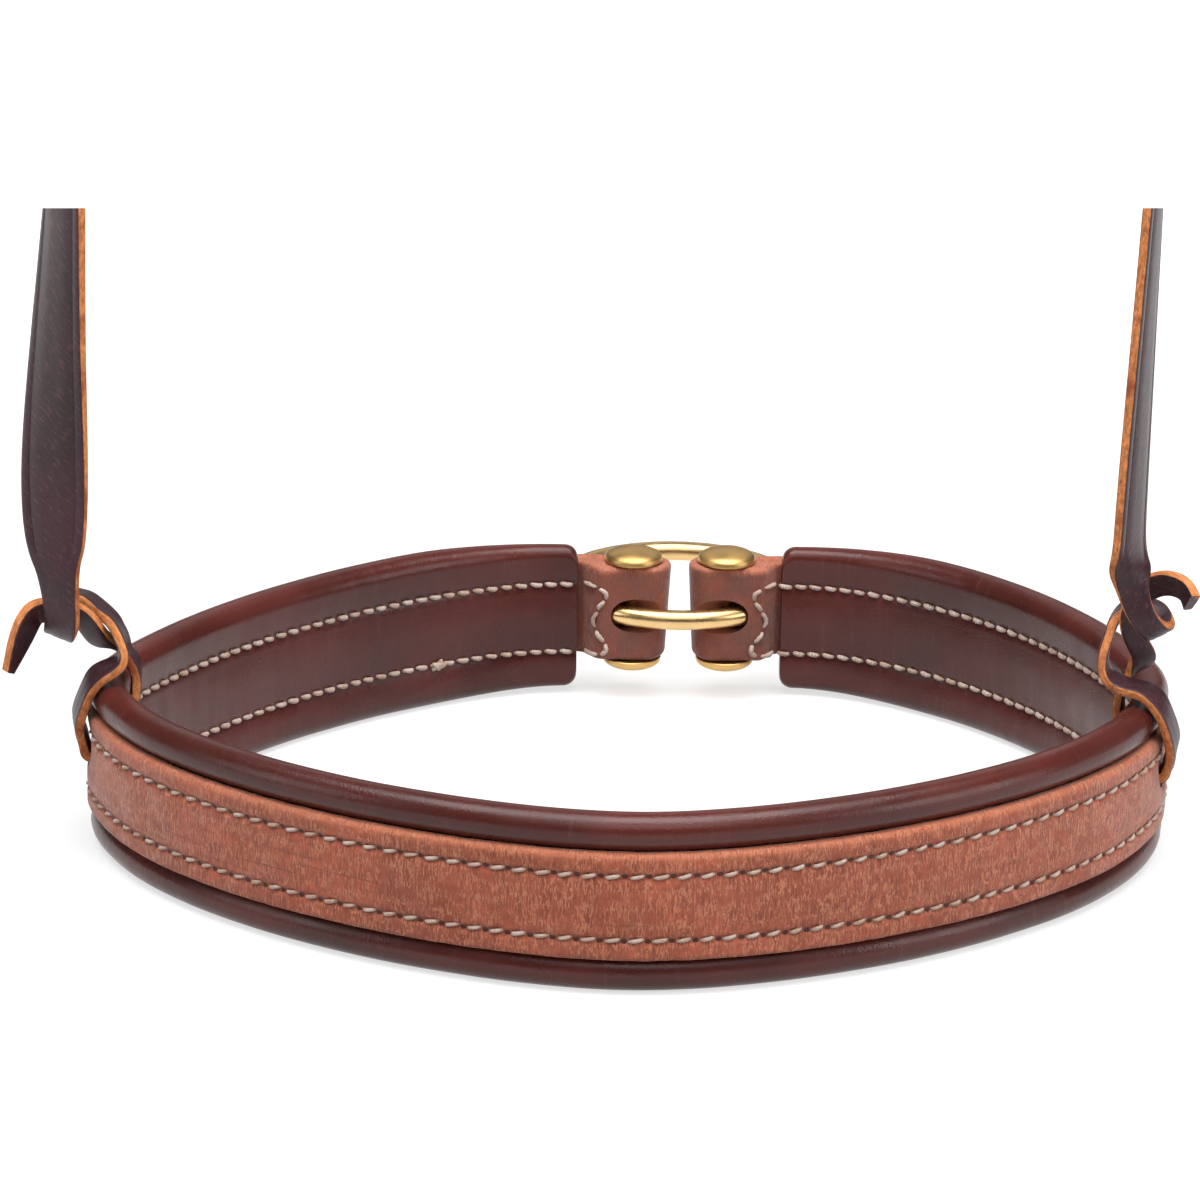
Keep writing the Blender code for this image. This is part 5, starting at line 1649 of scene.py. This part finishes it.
class NOSEBAND_OT_strip(bpy.types.Operator):
    """Make the outer strip with its folded rear tabs"""
    bl_idname = "noseband.strip"
    bl_label = "Outer strip"

    def execute(self, context):
        fit = Fit()
        leather = harness_finish(context.scene.noseband_colours, fit, strip_row(fit))
        strip = carved(build_strip(fit), [ring_slot_block(fit)] + slot_blocks(fit))
        placed("outer_strip", strip, "band", leather, ["nose_strip"])
        return {"FINISHED"}


class NOSEBAND_OT_stitching(bpy.types.Operator):
    """Make the stitched rows and the stitches that close the folds"""
    bl_idname = "noseband.stitching"
    bl_label = "Stitching"

    def execute(self, context):
        fit, chance = Fit(), Random(SEED)
        thread = thread_finish(context.scene.noseband_colours)
        for name, mesh in build_rows(fit, chance):
            placed(name + "_stitches", mesh, "band", thread, [name + "_stitching"],
                   sharp=60)
        for side in SIDES:
            placed(side + "_fold_stitches", build_closing(fit, side, chance), "band",
                   thread, [side + "_closing_stitches"], sharp=60)
        return {"FINISHED"}


class NOSEBAND_OT_hardware(bpy.types.Operator):
    """Make the ring and the two posts that hold it"""
    bl_idname = "noseband.hardware"
    bl_label = "Ring and posts"

    def execute(self, context):
        fit = Fit()
        tone = tuple(context.scene.noseband_colours.brass)
        brass = brass_finish("brass", tone, *RING_ROUGH)
        placed("brass_ring", build_ring(fit), "ring", brass, ["tie_down_ring"], sharp=60)
        brass = brass_finish("dull_brass", shaded(tone, 0.84, 0.78, 0.62), *POST_ROUGH)
        for side in SIDES:
            body = side + "_post"
            placed(side + "_barrel", build_barrel(fit, side), body, brass, [body + "_barrel"])
            placed(side + "_screw", build_screw(fit, side), body, brass, [body + "_screw"])
        return {"FINISHED"}


class NOSEBAND_OT_hangers(bpy.types.Operator):
    """Make the two hanger straps with their knots"""
    bl_idname = "noseband.hangers"
    bl_label = "Hangers"

    def execute(self, context):
        fit = Fit()
        leather = latigo_finish(context.scene.noseband_colours)
        for side, below in (("left", 4 * MM), ("right", 1 * MM)):
            mesh, hinge = build_hanger(fit, side)
            strap = placed(side + "_hanger", mesh, None, leather,
                           [side + "_hanger_strap", side + "_hanger_knot"], sharp=50)
            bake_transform(strap)
        return {"FINISHED"}


class NOSEBAND_PT_panel(bpy.types.Panel):
    """Settings and pieces of the noseband"""
    bl_idname = "NOSEBAND_PT_panel"
    bl_label = "Leather Noseband"
    bl_space_type = "VIEW_3D"
    bl_region_type = "UI"
    bl_category = "Noseband"

    def draw(self, context):
        for operator in OPERATORS:
            self.layout.operator(operator.bl_idname)
        for attribute, group in SETTINGS:
            box = self.layout.box()
            for key in group.__annotations__:
                box.prop(getattr(context.scene, attribute), key)


OPERATORS = (NOSEBAND_OT_stage, NOSEBAND_OT_backing, NOSEBAND_OT_strip, NOSEBAND_OT_stitching,
             NOSEBAND_OT_hardware, NOSEBAND_OT_hangers)


def register():
    for attribute, group in SETTINGS:
        bpy.utils.register_class(group)
        setattr(bpy.types.Scene, attribute, PointerProperty(type=group))
    for entry in OPERATORS + (NOSEBAND_PT_panel,):
        bpy.utils.register_class(entry)


def unregister():
    for entry in reversed(OPERATORS + (NOSEBAND_PT_panel,)):
        bpy.utils.unregister_class(entry)
    for attribute, group in reversed(SETTINGS):
        delattr(bpy.types.Scene, attribute)
        bpy.utils.unregister_class(group)


def main():
    register()
    bpy.ops.noseband.stage()
    bpy.ops.noseband.backing()
    bpy.ops.noseband.strip()
    bpy.ops.noseband.stitching()
    bpy.ops.noseband.hardware()
    bpy.ops.noseband.hangers()


if __name__ == "__main__":
    main()
